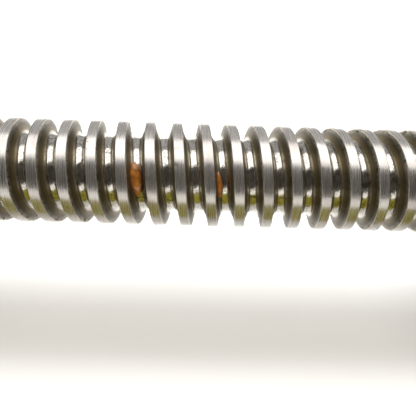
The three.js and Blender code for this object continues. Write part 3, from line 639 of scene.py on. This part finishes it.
def grease_drop(name, turn, degrees, long_degrees, width, height, offset, seed):
    """A bead of old grease lying in the groove along part of a turn, offset from its middle."""
    rng = random.Random(seed)
    bm = bmesh.new()
    along, across = 26, 14
    rows = []
    lumps = [(rng.uniform(0.15, 0.85), rng.uniform(-0.10, 0.14)) for _ in range(5)]
    for i in range(along + 1):
        t = i / along
        a = math.radians(degrees + (t - 0.5) * long_degrees)
        swell = max(0.03, math.sin(math.pi * t)) ** 0.62
        swell *= 1 + sum(s * math.exp(-((t - c) / 0.10) ** 2) for c, s in lumps)
        centre_x = LEAD * (turn + a / TURN) + offset
        row = []
        for k in range(across):
            b = TURN * k / across
            x = centre_x + width / 2 * swell * math.cos(b)
            r = ROOT_R + 0.12 + height * (0.42 + 0.58 * swell * math.sin(b))
            row.append(bm.verts.new((x, r * math.cos(a), r * math.sin(a))))
        rows.append(row)
    for a, b in zip(rows, rows[1:]):
        stitch(bm, a, b)
    bm.faces.new(rows[0])
    bm.faces.new(rows[-1])
    drop = from_bmesh(name, bm)
    smooth = drop.modifiers.new("smooth", "SUBSURF")
    smooth.levels = smooth.render_levels = 1
    settle(drop)
    dress(drop, "screw", GREASE)
    drop.data.shade_smooth()


def edge_dirt(seed=21, count=190):
    """Crumbs of dried dirt in clusters on the lands' edges, out of the rolling balls' way."""
    rng = random.Random(seed)
    bm = bmesh.new()
    clusters = [(rng.uniform(5, 36), rng.choice((-1, 1))) for _ in range(26)]
    for _ in range(count):
        spot, side = rng.choice(clusters)
        place = spot + rng.gauss(0, 0.035)
        a = TURN * (place % 1)
        size = rng.uniform(0.06, 0.15)
        x = LEAD * place + side * (GROOVE_MOUTH / 2 + size + rng.uniform(0.03, 0.15))
        r = SCREW_R - rng.uniform(0, 0.6) * size
        spin = Matrix.Rotation(rng.uniform(0, TURN), 4, "X")
        spin = spin @ Matrix.Rotation(rng.uniform(0, TURN), 4, "Z")
        squash = Matrix.Diagonal((rng.uniform(0.6, 1.0), rng.uniform(0.6, 1.0), rng.uniform(0.5, 1.0), 1))
        centre = Matrix.Translation((x, r * math.cos(a), r * math.sin(a)))
        bmesh.ops.create_icosphere(bm, subdivisions=1, radius=size, matrix=centre @ spin @ squash)
    dress(from_bmesh("edge_dirt", bm), "screw", DIRT)


# ---- The nut ----

NUT_X0, NUT_X1 = span("nut_body")
NUT_R = 20.0
FLANGE_R = 31.0
FLANGE_THICK = 11.0
FLANGE_FLAT = 22.5
FLANGE_HOLES = (0, 45, 135, 180, 225, 315)
FLANGE_HOLE_CIRCLE_R = 25.5
FLANGE_HOLE_R = 3.3
FLANGE_CHAMFER = 0.8
OUTSIDE = 40.0  # past any piece, for cutters
NECK_DEPTH = 0.35  # of the grinding neck beside the flange
NUT_BORE_R = 10.15
NUT_GROOVE_R = 1.66
WIPER_SEAT = 5.6
CLIP_GROOVE = 1.1
WIPER_R = 14.0
TUBE_FLAT = 13.2
TUBE_FLAT_X0 = NUT_X0 + 12.2
TUBE_FLAT_X1 = NUT_X0 + 44.5
TUBE_R = 2.3
TUBE_TOP = TUBE_FLAT + TUBE_R + 0.3
TUBE_BEND = 5.0
CIRCUIT_TURNS = (8, 11)
CIRCUIT_SWEEP = 3 * math.pi
CLAMP_SKEW = 0.507
CLAMP_X = NUT_X0 + 27.75
CLAMP_SCREW_Y = 12.0
M3_R = 1.5
M3_HOLE_R = 1.7
M3_PITCH = 0.5
M3_HEAD_R = 2.75
M3_HEAD = 3
KNURLS = 36
CLAMP_TOP = TUBE_TOP + TUBE_R + 2.1


def return_route(turn, low):
    """The centreline of a return tube, from inside the nut on one side over to the other."""
    start = LEAD * (turn + 0.5)
    end = start + LEAD * CIRCUIT_SWEEP / TURN
    slope = LEAD / (TURN * BALL_CIRCLE_R)
    shoulder = TUBE_TOP - TUBE_BEND

    def up(z):
        return Vector((end + slope * z, BALL_CIRCLE_R, z))

    def down(z):
        return Vector((start - slope * z, -BALL_CIRCLE_R, z))

    def bend(a, b, c):
        for k in range(11):
            t = k / 10
            points.append(a * (1 - t) ** 2 + b * 2 * t * (1 - t) + c * t * t)

    top_a, top_b = up(TUBE_TOP), down(TUBE_TOP)
    over = (top_b - top_a).normalized() * TUBE_BEND
    points = [up(low + (shoulder - low) * k / 6) for k in range(6)]
    bend(up(shoulder), top_a, top_a + over)
    bend(top_b - over, top_b, down(shoulder))
    points += [down(shoulder + (low - TUBE_TOP + TUBE_BEND) * k / 6) for k in range(1, 7)]
    return points


def ball_route(turn):
    """Points close together round one circuit: the groove, then the return tube."""
    start = LEAD * (turn + 0.5)
    points = []
    for k in range(300):
        a = CIRCUIT_SWEEP * k / 300
        x = start + LEAD * a / TURN
        angle = math.pi + a
        points.append(Vector((x, BALL_CIRCLE_R * math.cos(angle), BALL_CIRCLE_R * math.sin(angle))))
    return points + return_route(turn, 0.0)


def spaced(points, gap):
    """Points a gap apart along a closed route, stretched to fit a whole number."""
    points = points + [points[0]]
    lengths = [0.0]
    for a, b in zip(points, points[1:]):
        lengths.append(lengths[-1] + (b - a).length)
    count = int(lengths[-1] / gap)
    out = []
    for i in range(count):
        want = lengths[-1] * i / count
        j = int(np.searchsorted(lengths, want, side="right")) - 1
        t = (want - lengths[j]) / max(lengths[j + 1] - lengths[j], 1e-9)
        out.append(points[j].lerp(points[j + 1], t))
    return out


def nut_core():
    """What the screw and the balls take out of the nut: a rod with a round helical ridge."""
    lift = BALL_CIRCLE_R - NUT_BORE_R
    reach = math.sqrt(NUT_GROOVE_R ** 2 - lift ** 2)
    outline = []
    for k in range(-5, 6):
        x = reach * k / 5
        outline.append((x + LEAD if x < 0 else x, -(math.sqrt(NUT_GROOVE_R ** 2 - x * x) + lift)))
    x0, x1 = NUT_X0 + 5.1, NUT_X1 - 5.1
    return thread("nut_core", sorted(outline), LEAD, NUT_BORE_R, x0, x1, 48, lambda x: OUTSIDE)


def slab(name, half, low, high, x0, x1):
    """A block with a half width across Y, between two heights from the axis."""
    return prism(name, [(-half, low), (half, low), (half, high), (-half, high)], x0, x1)


def chamfered_hole(name, r, x0, x1, lip=0.4, sides=48):
    """A drill that leaves a small chamfer at the mouths at x0 and x1."""
    over = 1.0
    corners = [(x0 - over, 0), (x0 - over, r + lip + over), (x0, r + lip), (x0 + lip, r),
               (x1 - lip, r), (x1, r + lip), (x1 + over, r + lip + over), (x1 + over, 0)]
    return turned(name, corners, sides)


def make_nut():
    length = NUT_X1 - NUT_X0
    flange_end = FLANGE_R - FLANGE_CHAMFER
    neck_r = NUT_R - NECK_DEPTH
    neck_x0, neck_x1 = FLANGE_THICK + 1.6, FLANGE_THICK + 3.4
    profile = rounded([
        (0, 0, 0), (0, flange_end, 0.2), (FLANGE_CHAMFER, FLANGE_R, 0.3),
        (FLANGE_THICK - FLANGE_CHAMFER, FLANGE_R, 0.3), (FLANGE_THICK, flange_end, 0.2),
        (FLANGE_THICK, NUT_R, 0.5), (neck_x0, NUT_R, 0), (neck_x0, neck_r, 0.1), (neck_x1, neck_r, 0.1),
        (neck_x1, NUT_R, 0.1), (length - 1, NUT_R, 0.3), (length, NUT_R - 1, 0.3), (length, 0, 0)], 0.2)
    body = moved(turned("ball_nut", profile, 192), (NUT_X0, 0, 0))
    carve(body, slab("flats", OUTSIDE, -FLANGE_FLAT, FLANGE_FLAT, NUT_X0 - 1, NUT_X1 + 1), how="INTERSECT")
    cutters = [slab("tube_flat", OUTSIDE, TUBE_FLAT, OUTSIDE, TUBE_FLAT_X0, TUBE_FLAT_X1)]
    for degrees in FLANGE_HOLES:
        drill = chamfered_hole("flange_drill", FLANGE_HOLE_R, NUT_X0, NUT_X0 + FLANGE_THICK)
        moved(drill, (0, FLANGE_HOLE_CIRCLE_R, 0))
        cutters.append(moved(drill, (0, 0, 0), [("X", degrees)]))
    for x0, x1, clip_x in ((NUT_X0 - 1, NUT_X0 + WIPER_SEAT, NUT_X0 + 0.3),
                           (NUT_X1 - WIPER_SEAT, NUT_X1 + 1, NUT_X1 - 1.4)):
        cutters.append(rod("wiper_seat", x0, x1, WIPER_R + 0.1, 0, 96))
        cutters.append(rod("clip_groove", clip_x, clip_x + CLIP_GROOVE, WIPER_R + 0.5, 0, 96))
    for turn in CIRCUIT_TURNS:
        route = return_route(turn, 0.0)
        cutters.append(sweep("tube_hole", route, [TUBE_R + 0.25] * len(route), 32))
    for y in (-CLAMP_SCREW_Y, CLAMP_SCREW_Y):
        cutters.append(upright(rod("clamp_tap", 0, 12, M3_HOLE_R, 0, 24), CLAMP_X + CLAMP_SKEW * y, y, 5))
    fitting_x = NUT_X0 + FLANGE_THICK / 2
    cutters.append(upright(rod("grease_tap", 0, 9, 2.5, 0, 32), fitting_x, 0, FLANGE_FLAT - 6))
    cutters.append(upright(rod("spot_face", 0, 3, 4.9, 0, 48), fitting_x, 0, FLANGE_FLAT - 0.25))
    carve(body, *cutters, nut_core())
    bevel(body, 0.18, 2, 35)
    finish_piece(body, "nut_body", NUT_STEEL)


def make_tubes():
    for i, turn in enumerate(CIRCUIT_TURNS, 1):
        route = return_route(turn, 3.4)
        tube = sweep(f"tube_{i}", route, [TUBE_R] * len(route), 28, [TUBE_R - 0.45] * len(route))
        carve(tube, rod("screw_room", NUT_X0, NUT_X1, NUT_BORE_R + 0.15, 0, 96))
        finish_piece(tube, f"return_tube_{i}", TUBE_STEEL, 35)
        train = balls(f"balls_{i}", spaced(ball_route(turn), 2 * BALL_R + 0.02), BALL_R - 0.03, 3)
        finish_piece(train, f"ball_train_{i}", BALL_STEEL, 60)


def skewed(name, half_x, half_y, from_z, to_z):
    """A block that leans along X as it goes across, to lie square to the tubes."""
    bm = bmesh.new()
    corners = [(-half_x, -half_y), (half_x, -half_y), (half_x, half_y), (-half_x, half_y)]
    rings = []
    for z in (from_z, to_z):
        rings.append([bm.verts.new((x + CLAMP_SKEW * y, y, z)) for x, y in corners])
        bm.faces.new(rings[-1])
    stitch(bm, *rings)
    return from_bmesh(name, bm)


def make_clamp():
    clamp = skewed("tube_saddle", 3.6, 14.2, TUBE_FLAT + 0.1, CLAMP_TOP)
    carve(clamp, skewed("plate", 10.5, 4.6, TUBE_TOP + TUBE_R + 0.1, CLAMP_TOP), how="UNION")
    drills = []
    for y in (-CLAMP_SCREW_Y, CLAMP_SCREW_Y):
        drill = chamfered_hole("drill", M3_HOLE_R, 0, CLAMP_TOP - TUBE_FLAT, 0.25)
        drills.append(upright(drill, CLAMP_SKEW * y, y, TUBE_FLAT))
    carve(clamp, *drills)
    bevel(clamp, 0.35, 3, 40)
    moved(clamp, (CLAMP_X, 0, 0))
    finish_piece(clamp, "tube_clamp", TUBE_STEEL)


def m3_screw(name, length):
    """A socket head screw along X: knurled head, hexagon socket, and a rolled thread on the shank."""
    def knurl(angle, r, x):
        on_side = r > M3_HEAD_R * 0.97 and 0.3 < x < M3_HEAD - 0.3
        return r * (1 - 0.0175 * (1 + math.cos(KNURLS * angle))) if on_side else r

    corners = [(0, 0, 0), (0, M3_HEAD_R, 0.12), (0.35, M3_HEAD_R, 0), (0.45, M3_HEAD_R, 0),
               (M3_HEAD - 0.5, M3_HEAD_R, 0), (M3_HEAD - 0.4, M3_HEAD_R, 0),
               (M3_HEAD, M3_HEAD_R - 0.35, 0.15), (M3_HEAD, 0, 0)]
    head = turned(name, rounded(corners, 0), 144, False, knurl)
    shank = [(-length, 0)]
    for k in range(int(2 * (length - 2) / M3_PITCH)):
        shank.append((-length + M3_PITCH * k / 2, M3_R - (0.16 if k % 2 else 0.0)))
    carve(head, turned("shank", shank + [(0.05, M3_R), (0.05, 0)], 32), how="UNION")
    floor, across = M3_HEAD * 0.42, M3_HEAD_R * 0.56
    socket = [(floor - M3_HEAD_R * 0.22, 0), (floor, across), (M3_HEAD - 0.2, across),
              (M3_HEAD + 0.5, across + 0.5), (M3_HEAD + 0.5, 0)]
    return carve(head, turned("socket", socket, 6))


def grub_screw(name, inner, outer, r):
    """A set screw along X with a cone at its inner end and a hexagon socket in its outer one."""
    corners = [(inner, 0, 0), (inner, r * 0.6), (inner + 0.5, r), (outer - 0.2, r), (outer, r - 0.2),
               (outer, 0, 0)]
    body = turned(name, rounded(corners, 0.08), 40)
    return carve(body, rod("socket", outer - 1.5, outer + 1, r * 0.52, 0, 6))


def make_clamp_screws():
    for i, y in enumerate((-CLAMP_SCREW_Y, CLAMP_SCREW_Y), 1):
        piece = moved(m3_screw(f"saddle_screw_{i}", 14), (0, 0, 0), [("X", 20 + 35 * i)])
        upright(piece, CLAMP_X + CLAMP_SKEW * y, y, CLAMP_TOP + 0.1)
        finish_piece(piece, f"clamp_screw_{i}", SCREW_BLACK, 30)


def make_grease_fitting():
    nipple = turned("nipple", [(0, 0), (0, 4), (2.6, 4), (2.6, 0)], 6)
    dome = [(0, 0, 0), (0, 3.55), (0.5, 4.1), (2.1, 4.1), (2.6, 3.5), (2.6, 0, 0)]
    carve(nipple, turned("dome", rounded(dome, 0.1), 64), how="INTERSECT")
    nose = [(-5, 0, 0), (-5, 2.1), (-4.7, 2.4), (2.2, 2.4, 0), (2.8, 2.4), (3.9, 1.75), (4.5, 1.7),
            (5.2, 2.3, 0.5), (5.9, 2.1, 0.3), (6.6, 1.2, 0.2), (6.6, 0.45, 0.1), (5.9, 0.3, 0), (5.9, 0, 0)]
    carve(nipple, turned("nose", rounded(nose, 0.15), 64), how="UNION")
    upright(nipple, NUT_X0 + FLANGE_THICK / 2, 0, FLANGE_FLAT + 0.1)
    finish_piece(nipple, "grease_fitting", NIPPLE_BRASS, 32)


def make_wipers():
    """Split acetal rings whose inner lip follows the screw."""
    for node in ("flange_wiper", "tail_wiper"):
        x0, x1 = span(node)
        inner = SCREW_R + 0.2
        piece = turned(node.replace("_", "") + "_ring", rounded([
            (x0, inner + 0.8), (x0, WIPER_R), (x1, WIPER_R), (x1, inner + 0.8),
            (x1 - 0.8, inner), (x0 + 0.8, inner)], 0.2, True), 128, True)
        carve(piece, slab("gap", 0.3, 0, -WIPER_R - 6, x0 - 1, x1 + 1))
        finish_piece(piece, node, WIPER_PLASTIC)


def circlip(node, inner, outer, eye_at, gap_half):
    """A spring clip open at the top, with a holed eye at each end of the opening."""
    x0, x1 = span(node)
    clip = ring(node.replace("_circlip", "_clip"), x0, x1, inner, outer, 0.12, 128)
    drills = []
    for side in (-1, 1):
        place = (0, side * (gap_half + 1.25), eye_at)
        eye = moved(rod("eye", x0, x1, 1.35, 0.12, 40), place)
        carve(clip, eye, how="UNION")
        drills.append(moved(rod("drill", x0 - 1, x1 + 1, 0.6, 0, 24), place))
    carve(clip, slab("gap", gap_half, 0, outer + 4, x0 - 1, x1 + 1), *drills)
    finish_piece(clip, node, SPRING_STEEL)


def make_circlips():
    for node in ("flange_wiper_circlip", "tail_wiper_circlip"):
        circlip(node, 12.4, WIPER_R + 0.3, 12.2, 1.1)
    circlip("far_bore_circlip", 11.8, 13.75, 11.6, 1.1)
    circlip("far_shaft_circlip", FAR_SEAT_R - 0.25, 6.6, 7.0, 1.0)


# ---- Bearings ----

BEARING_BALL_R = 2.3
TRACK_R = BEARING_BALL_R + 0.08
SHOULDER = 1.6  # from the balls' circle to a ring's shoulder
BEARINGS = {  # the bore's radius, the outside's, the balls' circle's, and how many balls
    "fixed_bearing_1": (6.1, 13.95, 10.1, 9),
    "fixed_bearing_2": (6.1, 13.95, 10.1, 9),
    "far_bearing": (5.1, 12.95, 9.1, 8),
}


def race(x, balls_at, side, steps=8):
    """The ball track's arc across a ring, as (x, radius) points from one shoulder to the other."""
    half = math.sqrt(TRACK_R ** 2 - SHOULDER ** 2)
    points = []
    for k in range(steps + 1):
        dx = -half + 2 * half * k / steps
        points.append((x + dx, balls_at - side * math.sqrt(TRACK_R ** 2 - dx * dx), 0))
    return points


def wavy_cage(name, x, balls_at, count):
    """A pressed cage: two ribbons that bow round each ball and meet between them."""
    bm = bmesh.new()
    each = 24
    sides = count * each
    thick, half_tall = 0.32, 0.8
    for side in (-1, 1):
        rows = []
        for i in range(sides):
            a = TURN * i / sides
            off = ((i + each // 2) % each - each // 2) / each * TURN / count * balls_at
            bow = max(0.02, math.sqrt(max(0.0, TRACK_R ** 2 - off * off)))
            row = []
            for dx, dr in ((0, -half_tall), (thick, -half_tall), (thick, half_tall), (0, half_tall)):
                r = balls_at + dr
                row.append(bm.verts.new((x + side * (bow + dx), r * math.cos(a), r * math.sin(a))))
            rows.append(row)
        for i in range(sides):
            stitch(bm, rows[i], rows[(i + 1) % sides])
    return from_bmesh(name, bm)


def make_bearings():
    for name, (bore, outside, balls_at, count) in BEARINGS.items():
        x0, x1 = span(name + "_inner_ring")
        x = (x0 + x1) / 2
        lip_in, lip_out = balls_at - SHOULDER, balls_at + SHOULDER
        inner = [(x0, bore, 0.4), (x0, lip_in, 0.2)] + race(x, balls_at, 1)
        inner += [(x1, lip_in, 0.2), (x1, bore, 0.4)]
        outer = [(x0, lip_out, 0.2)] + race(x, balls_at, -1)
        outer += [(x1, lip_out, 0.2), (x1, outside, 0.5), (x0, outside, 0.5)]
        for part, corners in (("inner_ring", inner), ("outer_ring", outer)):
            piece = turned(f"{name}_{part}_fine", rounded(corners, 0.2, True), 128, True)
            finish_piece(piece, f"{name}_{part}", RACE_STEEL, 35)
        angles = [TURN * i / count for i in range(count)]
        centres = [(x, balls_at * math.cos(a), balls_at * math.sin(a)) for a in angles]
        node = name + "_balls_and_cage"
        beads = balls(name + "_balls", centres, BEARING_BALL_R, 4)
        finish_piece(beads, node, BALL_STEEL, 60)
        cage = wavy_cage(name + "_cage", x, balls_at, count)
        finish_piece(cage, node, CAGE_STEEL, 40)


# ---- The blocks and what they carry ----

BLOCK_WIDTH = 60.0
BLOCK_SHOULDER = 32.5
BLOCK_HEIGHT = 43.0
BLOCK_HEAD = 36.0
FOOT_BOLT_Y = 23.0
FOOT_HOLE_R = 3.3
FOOT_SINK_R = 5.6
LID_BOLT_AT = 13.2
LID_BOLTS = [(y * LID_BOLT_AT, z * LID_BOLT_AT) for y, z in ((-1, -1), (1, -1), (1, 1), (-1, 1))]
SEAL_R = 10.0
LID_HALF = 17.5
FIXED_BORE_R = 14.1
FIXED_BORE_X = -6.5  # the bore's inner end
FAR_BORE_R = 13.1


def block_blank(name, x0, x1):
    """A pillow block's outside: a wide foot with a narrower head."""
    half = [(BLOCK_WIDTH / 2, 0), (BLOCK_WIDTH / 2, BLOCK_SHOULDER - 1.5),
            (BLOCK_WIDTH / 2 - 1.5, BLOCK_SHOULDER), (BLOCK_HEAD / 2, BLOCK_SHOULDER),
            (BLOCK_HEAD / 2, BLOCK_HEIGHT - 5), (BLOCK_HEAD / 2 - 5, BLOCK_HEIGHT)]
    outline = [(-BLOCK_WIDTH / 2, 0)] + half + [(-y, z) for y, z in half[:0:-1]]
    return bevel(prism(name, [(y, z - AXIS) for y, z in outline], x0, x1), 0.5, 3, 30)


def foot_drills(x):
    """A foot's two bolt holes, each with a counterbore from above."""
    top = BLOCK_SHOULDER - AXIS
    profile = [(-AXIS - 1, 0), (-AXIS - 1, 4.5), (-AXIS + 0.4, FOOT_HOLE_R), (0.9, FOOT_HOLE_R),
               (1.0, FOOT_SINK_R), (top - 0.4, FOOT_SINK_R), (top + 1, 7.0), (top + 1, 0)]
    return [upright(turned("foot_drill", profile, 64), x, y, 0) for y in (-FOOT_BOLT_Y, FOOT_BOLT_Y)]


def make_fixed_block():
    x0, x1 = span("fixed_housing")
    block = block_blank("fixed_block", x0, x1)
    seal_seat = SEAL_R + 0.1
    bore = [(x0 - 1, 0), (x0 - 1, SEAL_R + 1.5), (x0 + 0.4, seal_seat), (FIXED_BORE_X, seal_seat),
            (FIXED_BORE_X, FIXED_BORE_R), (x1 - 0.5, FIXED_BORE_R), (x1 + 0.5, FIXED_BORE_R + 1),
            (x1 + 0.5, 0)]
    taps = [moved(rod("tap", 4, x1 + 1, M3_HOLE_R, 0, 32), (0, y, z)) for y, z in LID_BOLTS]
    carve(block, turned("bore", bore, 128), *taps, *foot_drills((x0 + x1) / 2))
    finish_piece(block, "fixed_housing", BLOCK_STEEL)


def make_lid():
    x0, x1 = span("fixed_lid")
    face = span("fixed_housing")[1] + 0.1
    side, cut = LID_HALF, LID_HALF - 2
    outline = [(-cut, -side), (cut, -side), (side, -cut), (side, cut),
               (cut, side), (-cut, side), (-side, cut), (-side, -cut)]
    lid = prism("lid", outline, face, x1, 0.35)
    carve(lid, rod("spigot", x0, face + 1, 13.95, 0.3, 128), how="UNION")
    seal_seat = SEAL_R + 0.1
    bore = [(0, 0), (0, seal_seat), (x1 - 0.4, seal_seat), (x1 + 0.6, seal_seat + 1), (x1 + 0.6, 0)]
    drills = [moved(chamfered_hole("drill", 1.8, face - 3, x1, 0.3), (0, y, z)) for y, z in LID_BOLTS]
    carve(lid, turned("bore", bore, 128), *drills)
    finish_piece(lid, "fixed_lid", BLOCK_STEEL)
    for i, (y, z) in enumerate(LID_BOLTS, 1):
        piece = moved(m3_screw(f"lid_screw_{i}", 11), (x1 + 0.1, y, z), [("X", 17 * i)])
        finish_piece(piece, f"lid_bolt_{i}", SCREW_BLACK, 30)


def make_seals():
    for node in ("outboard_seal", "inboard_seal"):
        x0, x1 = span(node)
        piece = turned(node + "_lip", rounded([
            (x0, 8.9), (x0, SEAL_R), (x1, SEAL_R), (x1, 9.2), (x1 - 1.1, 9.0), (x1 - 0.9, 8.2),
            (x0 + 1.6, 8.15), (x0 + 1.2, 8.8)], 0.15, True), 128, True)
        finish_piece(piece, node, SEAL_RUBBER)


def make_far_block():
    x0, x1 = span("far_housing")
    x = (x0 + x1) / 2
    block = block_blank("far_block", x0, x1)
    clip_r = FAR_BORE_R + 0.8
    bore = [(x0 - 1, 0), (x0 - 1, 12.0), (x0 + 0.5, 10.5), (x - 4.2, 10.5), (x - 4.2, FAR_BORE_R),
            (x + 4.25, FAR_BORE_R), (x + 4.25, clip_r), (x + 5.55, clip_r), (x + 5.55, FAR_BORE_R),
            (x1 - 0.5, FAR_BORE_R), (x1 + 0.5, FAR_BORE_R + 1), (x1 + 0.5, 0)]
    carve(block, turned("bore", bore, 128), *foot_drills(x))
    finish_piece(block, "far_housing", BLOCK_STEEL)


def make_collars():
    for node in ("outboard_collar", "inboard_collar"):
        x0, x1 = span(node)
        finish_piece(ring(node + "_fine", x0, x1, 6.1, 8.0, 0.3, 128), node, COLLAR_STEEL)


def make_lock_nut():
    x0, x1 = span("lock_nut")
    x = (x0 + x1) / 2
    corners = [(x0, 6.6), (x0, 10.2), (x0 + 0.8, 11), (x1 - 0.8, 11), (x1, 10.2), (x1, 6.6),
               (x1 - 0.5, 6.1), (x0 + 0.5, 6.1)]
    nut = turned("slotted_nut", rounded(corners, 0.15, True), 144, True)
    cutters = []
    for k in range(4):
        slot = slab("slot", 1.6, 9.4, 12, x0 - 1, x1 + 1)
        cutters.append(moved(slot, (0, 0, 0), [("X", 45 + 90 * k)]))
    for tilt in (0, 90):
        tap = upright(rod("tap", 5, 13, 1.5, 0, 32), 0, 0, 0)
        cutters.append(moved(tap, (x, 0, 0), [("X", tilt)]))
    carve(nut, *cutters)
    bevel(nut, 0.15, 2, 35)
    finish_piece(nut, "lock_nut", COLLAR_STEEL)
    for i, tilt in ((1, 0), (2, 90)):
        grub = upright(grub_screw(f"grub_{i}", 6.4, 10.6, 1.4), 0, 0, 0)
        moved(grub, (x, 0, 0), [("X", tilt)])
        finish_piece(grub, f"lock_nut_set_screw_{i}", SCREW_BLACK)


# ---- Building it ----

make_screw()
grease_drop("grease_drop_1", 24, 152.0, 50, 2.0, 1.1, -0.40, 3)
grease_drop("grease_drop_2", 27, 156.0, 38, 1.15, 0.85, -0.85, 5)
edge_dirt()
make_nut()
make_tubes()
make_clamp()
make_clamp_screws()
make_grease_fitting()
make_wipers()
make_circlips()
make_bearings()
make_fixed_block()
make_lid()
make_seals()
make_far_block()
make_collars()
make_lock_nut()


# ---- The studio ----

VIEW_UP = 38.0  # the camera's height above the screw, in degrees
VIEW_DISTANCE = 78.3
VIEW_YAW = 0.0228
VIEW_ROLL = 0.0303
VIEW_PHASE = 0.047  # of a lead, from the ridge nearest the camera
FOCAL = 0.97548  # of the picture's width
DROP = 0.07981  # of the picture's width, from its middle up to the screw's axis
SIDE_SHIFT = 0.0028
SENSOR = 36
THREAD_MIDDLE = 0.134  # along X, in metres


def place_camera():
    """A camera at the photograph's height, aimed at the bare thread."""
    tilt = Matrix.Rotation(-math.radians(VIEW_UP), 3, "X")
    target = Vector((LEAD * (27 - VIEW_UP / 360 - VIEW_PHASE), 0, AXIS))
    away = tilt @ (Vector((-math.sin(VIEW_YAW), -math.cos(VIEW_YAW), 0)) * VIEW_DISTANCE)
    right = tilt @ Vector((math.cos(VIEW_YAW), -math.sin(VIEW_YAW), 0))
    forward = -away.normalized()
    basis = Matrix((right, right.cross(forward), -forward)).transposed().to_4x4()
    camera = bpy.data.cameras.new("camera")
    camera.sensor_width = SENSOR
    camera.lens = SENSOR * FOCAL
    camera.shift_x = SIDE_SHIFT
    camera.shift_y = -DROP
    camera.clip_start = 0.005
    thing = to_object("camera", camera)
    place = Matrix.Translation((target + away) * MM)
    thing.matrix_world = place @ basis @ Matrix.Rotation(VIEW_ROLL, 4, "Z")
    bpy.context.scene.camera = thing


def from_screw(elevation, distance):
    """A point seen from the middle of the bare thread at an elevation, 0 to the front and 90 above."""
    a = math.radians(elevation)
    return Vector((THREAD_MIDDLE, -math.cos(a) * distance, AXIS * MM + math.sin(a) * distance))


def area_light(name, elevation, distance, width, height, power, colour=(1, 1, 1)):
    """A soft lamp aimed at the screw that doesn't show in reflections."""
    light = bpy.data.lights.new(name, "AREA")
    light.shape = "RECTANGLE"
    light.size = width
    light.size_y = height
    light.energy = power
    light.color = colour
    thing = to_object(name, light)
    thing.location = from_screw(elevation, distance)
    direction = from_screw(0, 0) - from_screw(elevation, distance)
    thing.rotation_euler = direction.to_track_quat("-Z", "Y").to_euler()
    thing.visible_glossy = False


def card(name, low, high, distance, width, colour, strength):
    """A strip that only shows in reflections, between two elevations round the screw."""
    a, b = from_screw(low, distance), from_screw(high, distance)
    bm = bmesh.new()
    corners = [(-width / 2, a), (width / 2, a), (width / 2, b), (-width / 2, b)]
    bm.faces.new([bm.verts.new((p.x + x, p.y, p.z)) for x, p in corners])
    thing = as_is(name, bm)
    n = Nodes(name)
    n.tree.nodes.remove(n.shader)
    glow = n.node("Emission", {"Color": colour, "Strength": strength})
    n.feed(n.tree.nodes["Material Output"].inputs, {"Surface": glow.outputs[0]})
    thing.data.materials.append(n.material)
    thing.visible_camera = False
    thing.visible_diffuse = False
    thing.visible_shadow = False
    thing.visible_transmission = False


def make_floor():
    bm = bmesh.new()
    bmesh.ops.create_grid(bm, x_segments=24, y_segments=24, size=3.0)
    floor = as_is("floor", bm)
    floor.location = (0.13, 0, -0.0002)
    n = Nodes("white_paper")
    place = n.position()
    fibre = n.noise(place, (0.6, 0.6, 0.6), 5, 0.6)
    cloud = n.noise(place, (0.008, 0.008, 0.008), 3, 0.5)
    tone = n.mix(n.remap(cloud, 0.3, 0.7), (0.90, 0.90, 0.895), (0.87, 0.87, 0.865))
    n.shade({"Base Color": tone, "Roughness": 0.8, "Normal": n.bump(fibre, 0.08, 0.05)})
    floor.data.materials.append(n.material)


def make_world():
    """A pale sky to the camera, and a grey one that lightens towards +Y to everything else."""
    world = bpy.data.worlds.new("studio")
    bpy.context.scene.world = world
    world.use_nodes = True
    tree = world.node_tree
    tree.nodes.clear()
    n = Tree(tree)
    towards = n.node("SeparateXYZ", {0: n.node("TexCoord").outputs["Generated"]})
    strength = n.remap(towards.outputs["Y"], 0.1, 0.7, 0.10, 0.60)
    grey = n.node("Background", {"Strength": strength})
    pale = n.node("Background", {"Color": (0.95, 0.95, 0.95)})
    seen = n.node("LightPath").outputs["Is Camera Ray"]
    both = n.node("MixShader", {0: seen, 1: grey.outputs[0], 2: pale.outputs[0]})
    n.node("OutputWorld", {"Surface": both.outputs[0]})


bpy.context.scene.view_settings.view_transform = "Standard"
place_camera()
make_floor()
make_world()
area_light("window", VIEW_UP + 89, 0.8, 0.6, 0.34, 10.4)
area_light("fill", 70, 0.9, 1.4, 1.2, 9.5, (1.0, 0.95, 0.87))
card("softbox", VIEW_UP + 27, VIEW_UP + 78, 0.5, 1.1, (1.0, 0.99, 0.98), 2.5)
# A dim card seen only in reflections: a painted reflection of the shaded bench and the camera in front of
# the screw.
card("shaded_bench_reflection", VIEW_UP - 48.5, VIEW_UP + 24, 0.5, 1.2, (1.0, 0.9, 0.75), 0.05)
# A glowing olive card seen only in reflections: a painted reflection of the olive-stained bench below the
# screw, in shade.
card("olive_bench_reflection", VIEW_UP - 92, VIEW_UP - 52, 0.028, 0.11, (0.62, 0.54, 0.05), 0.5)
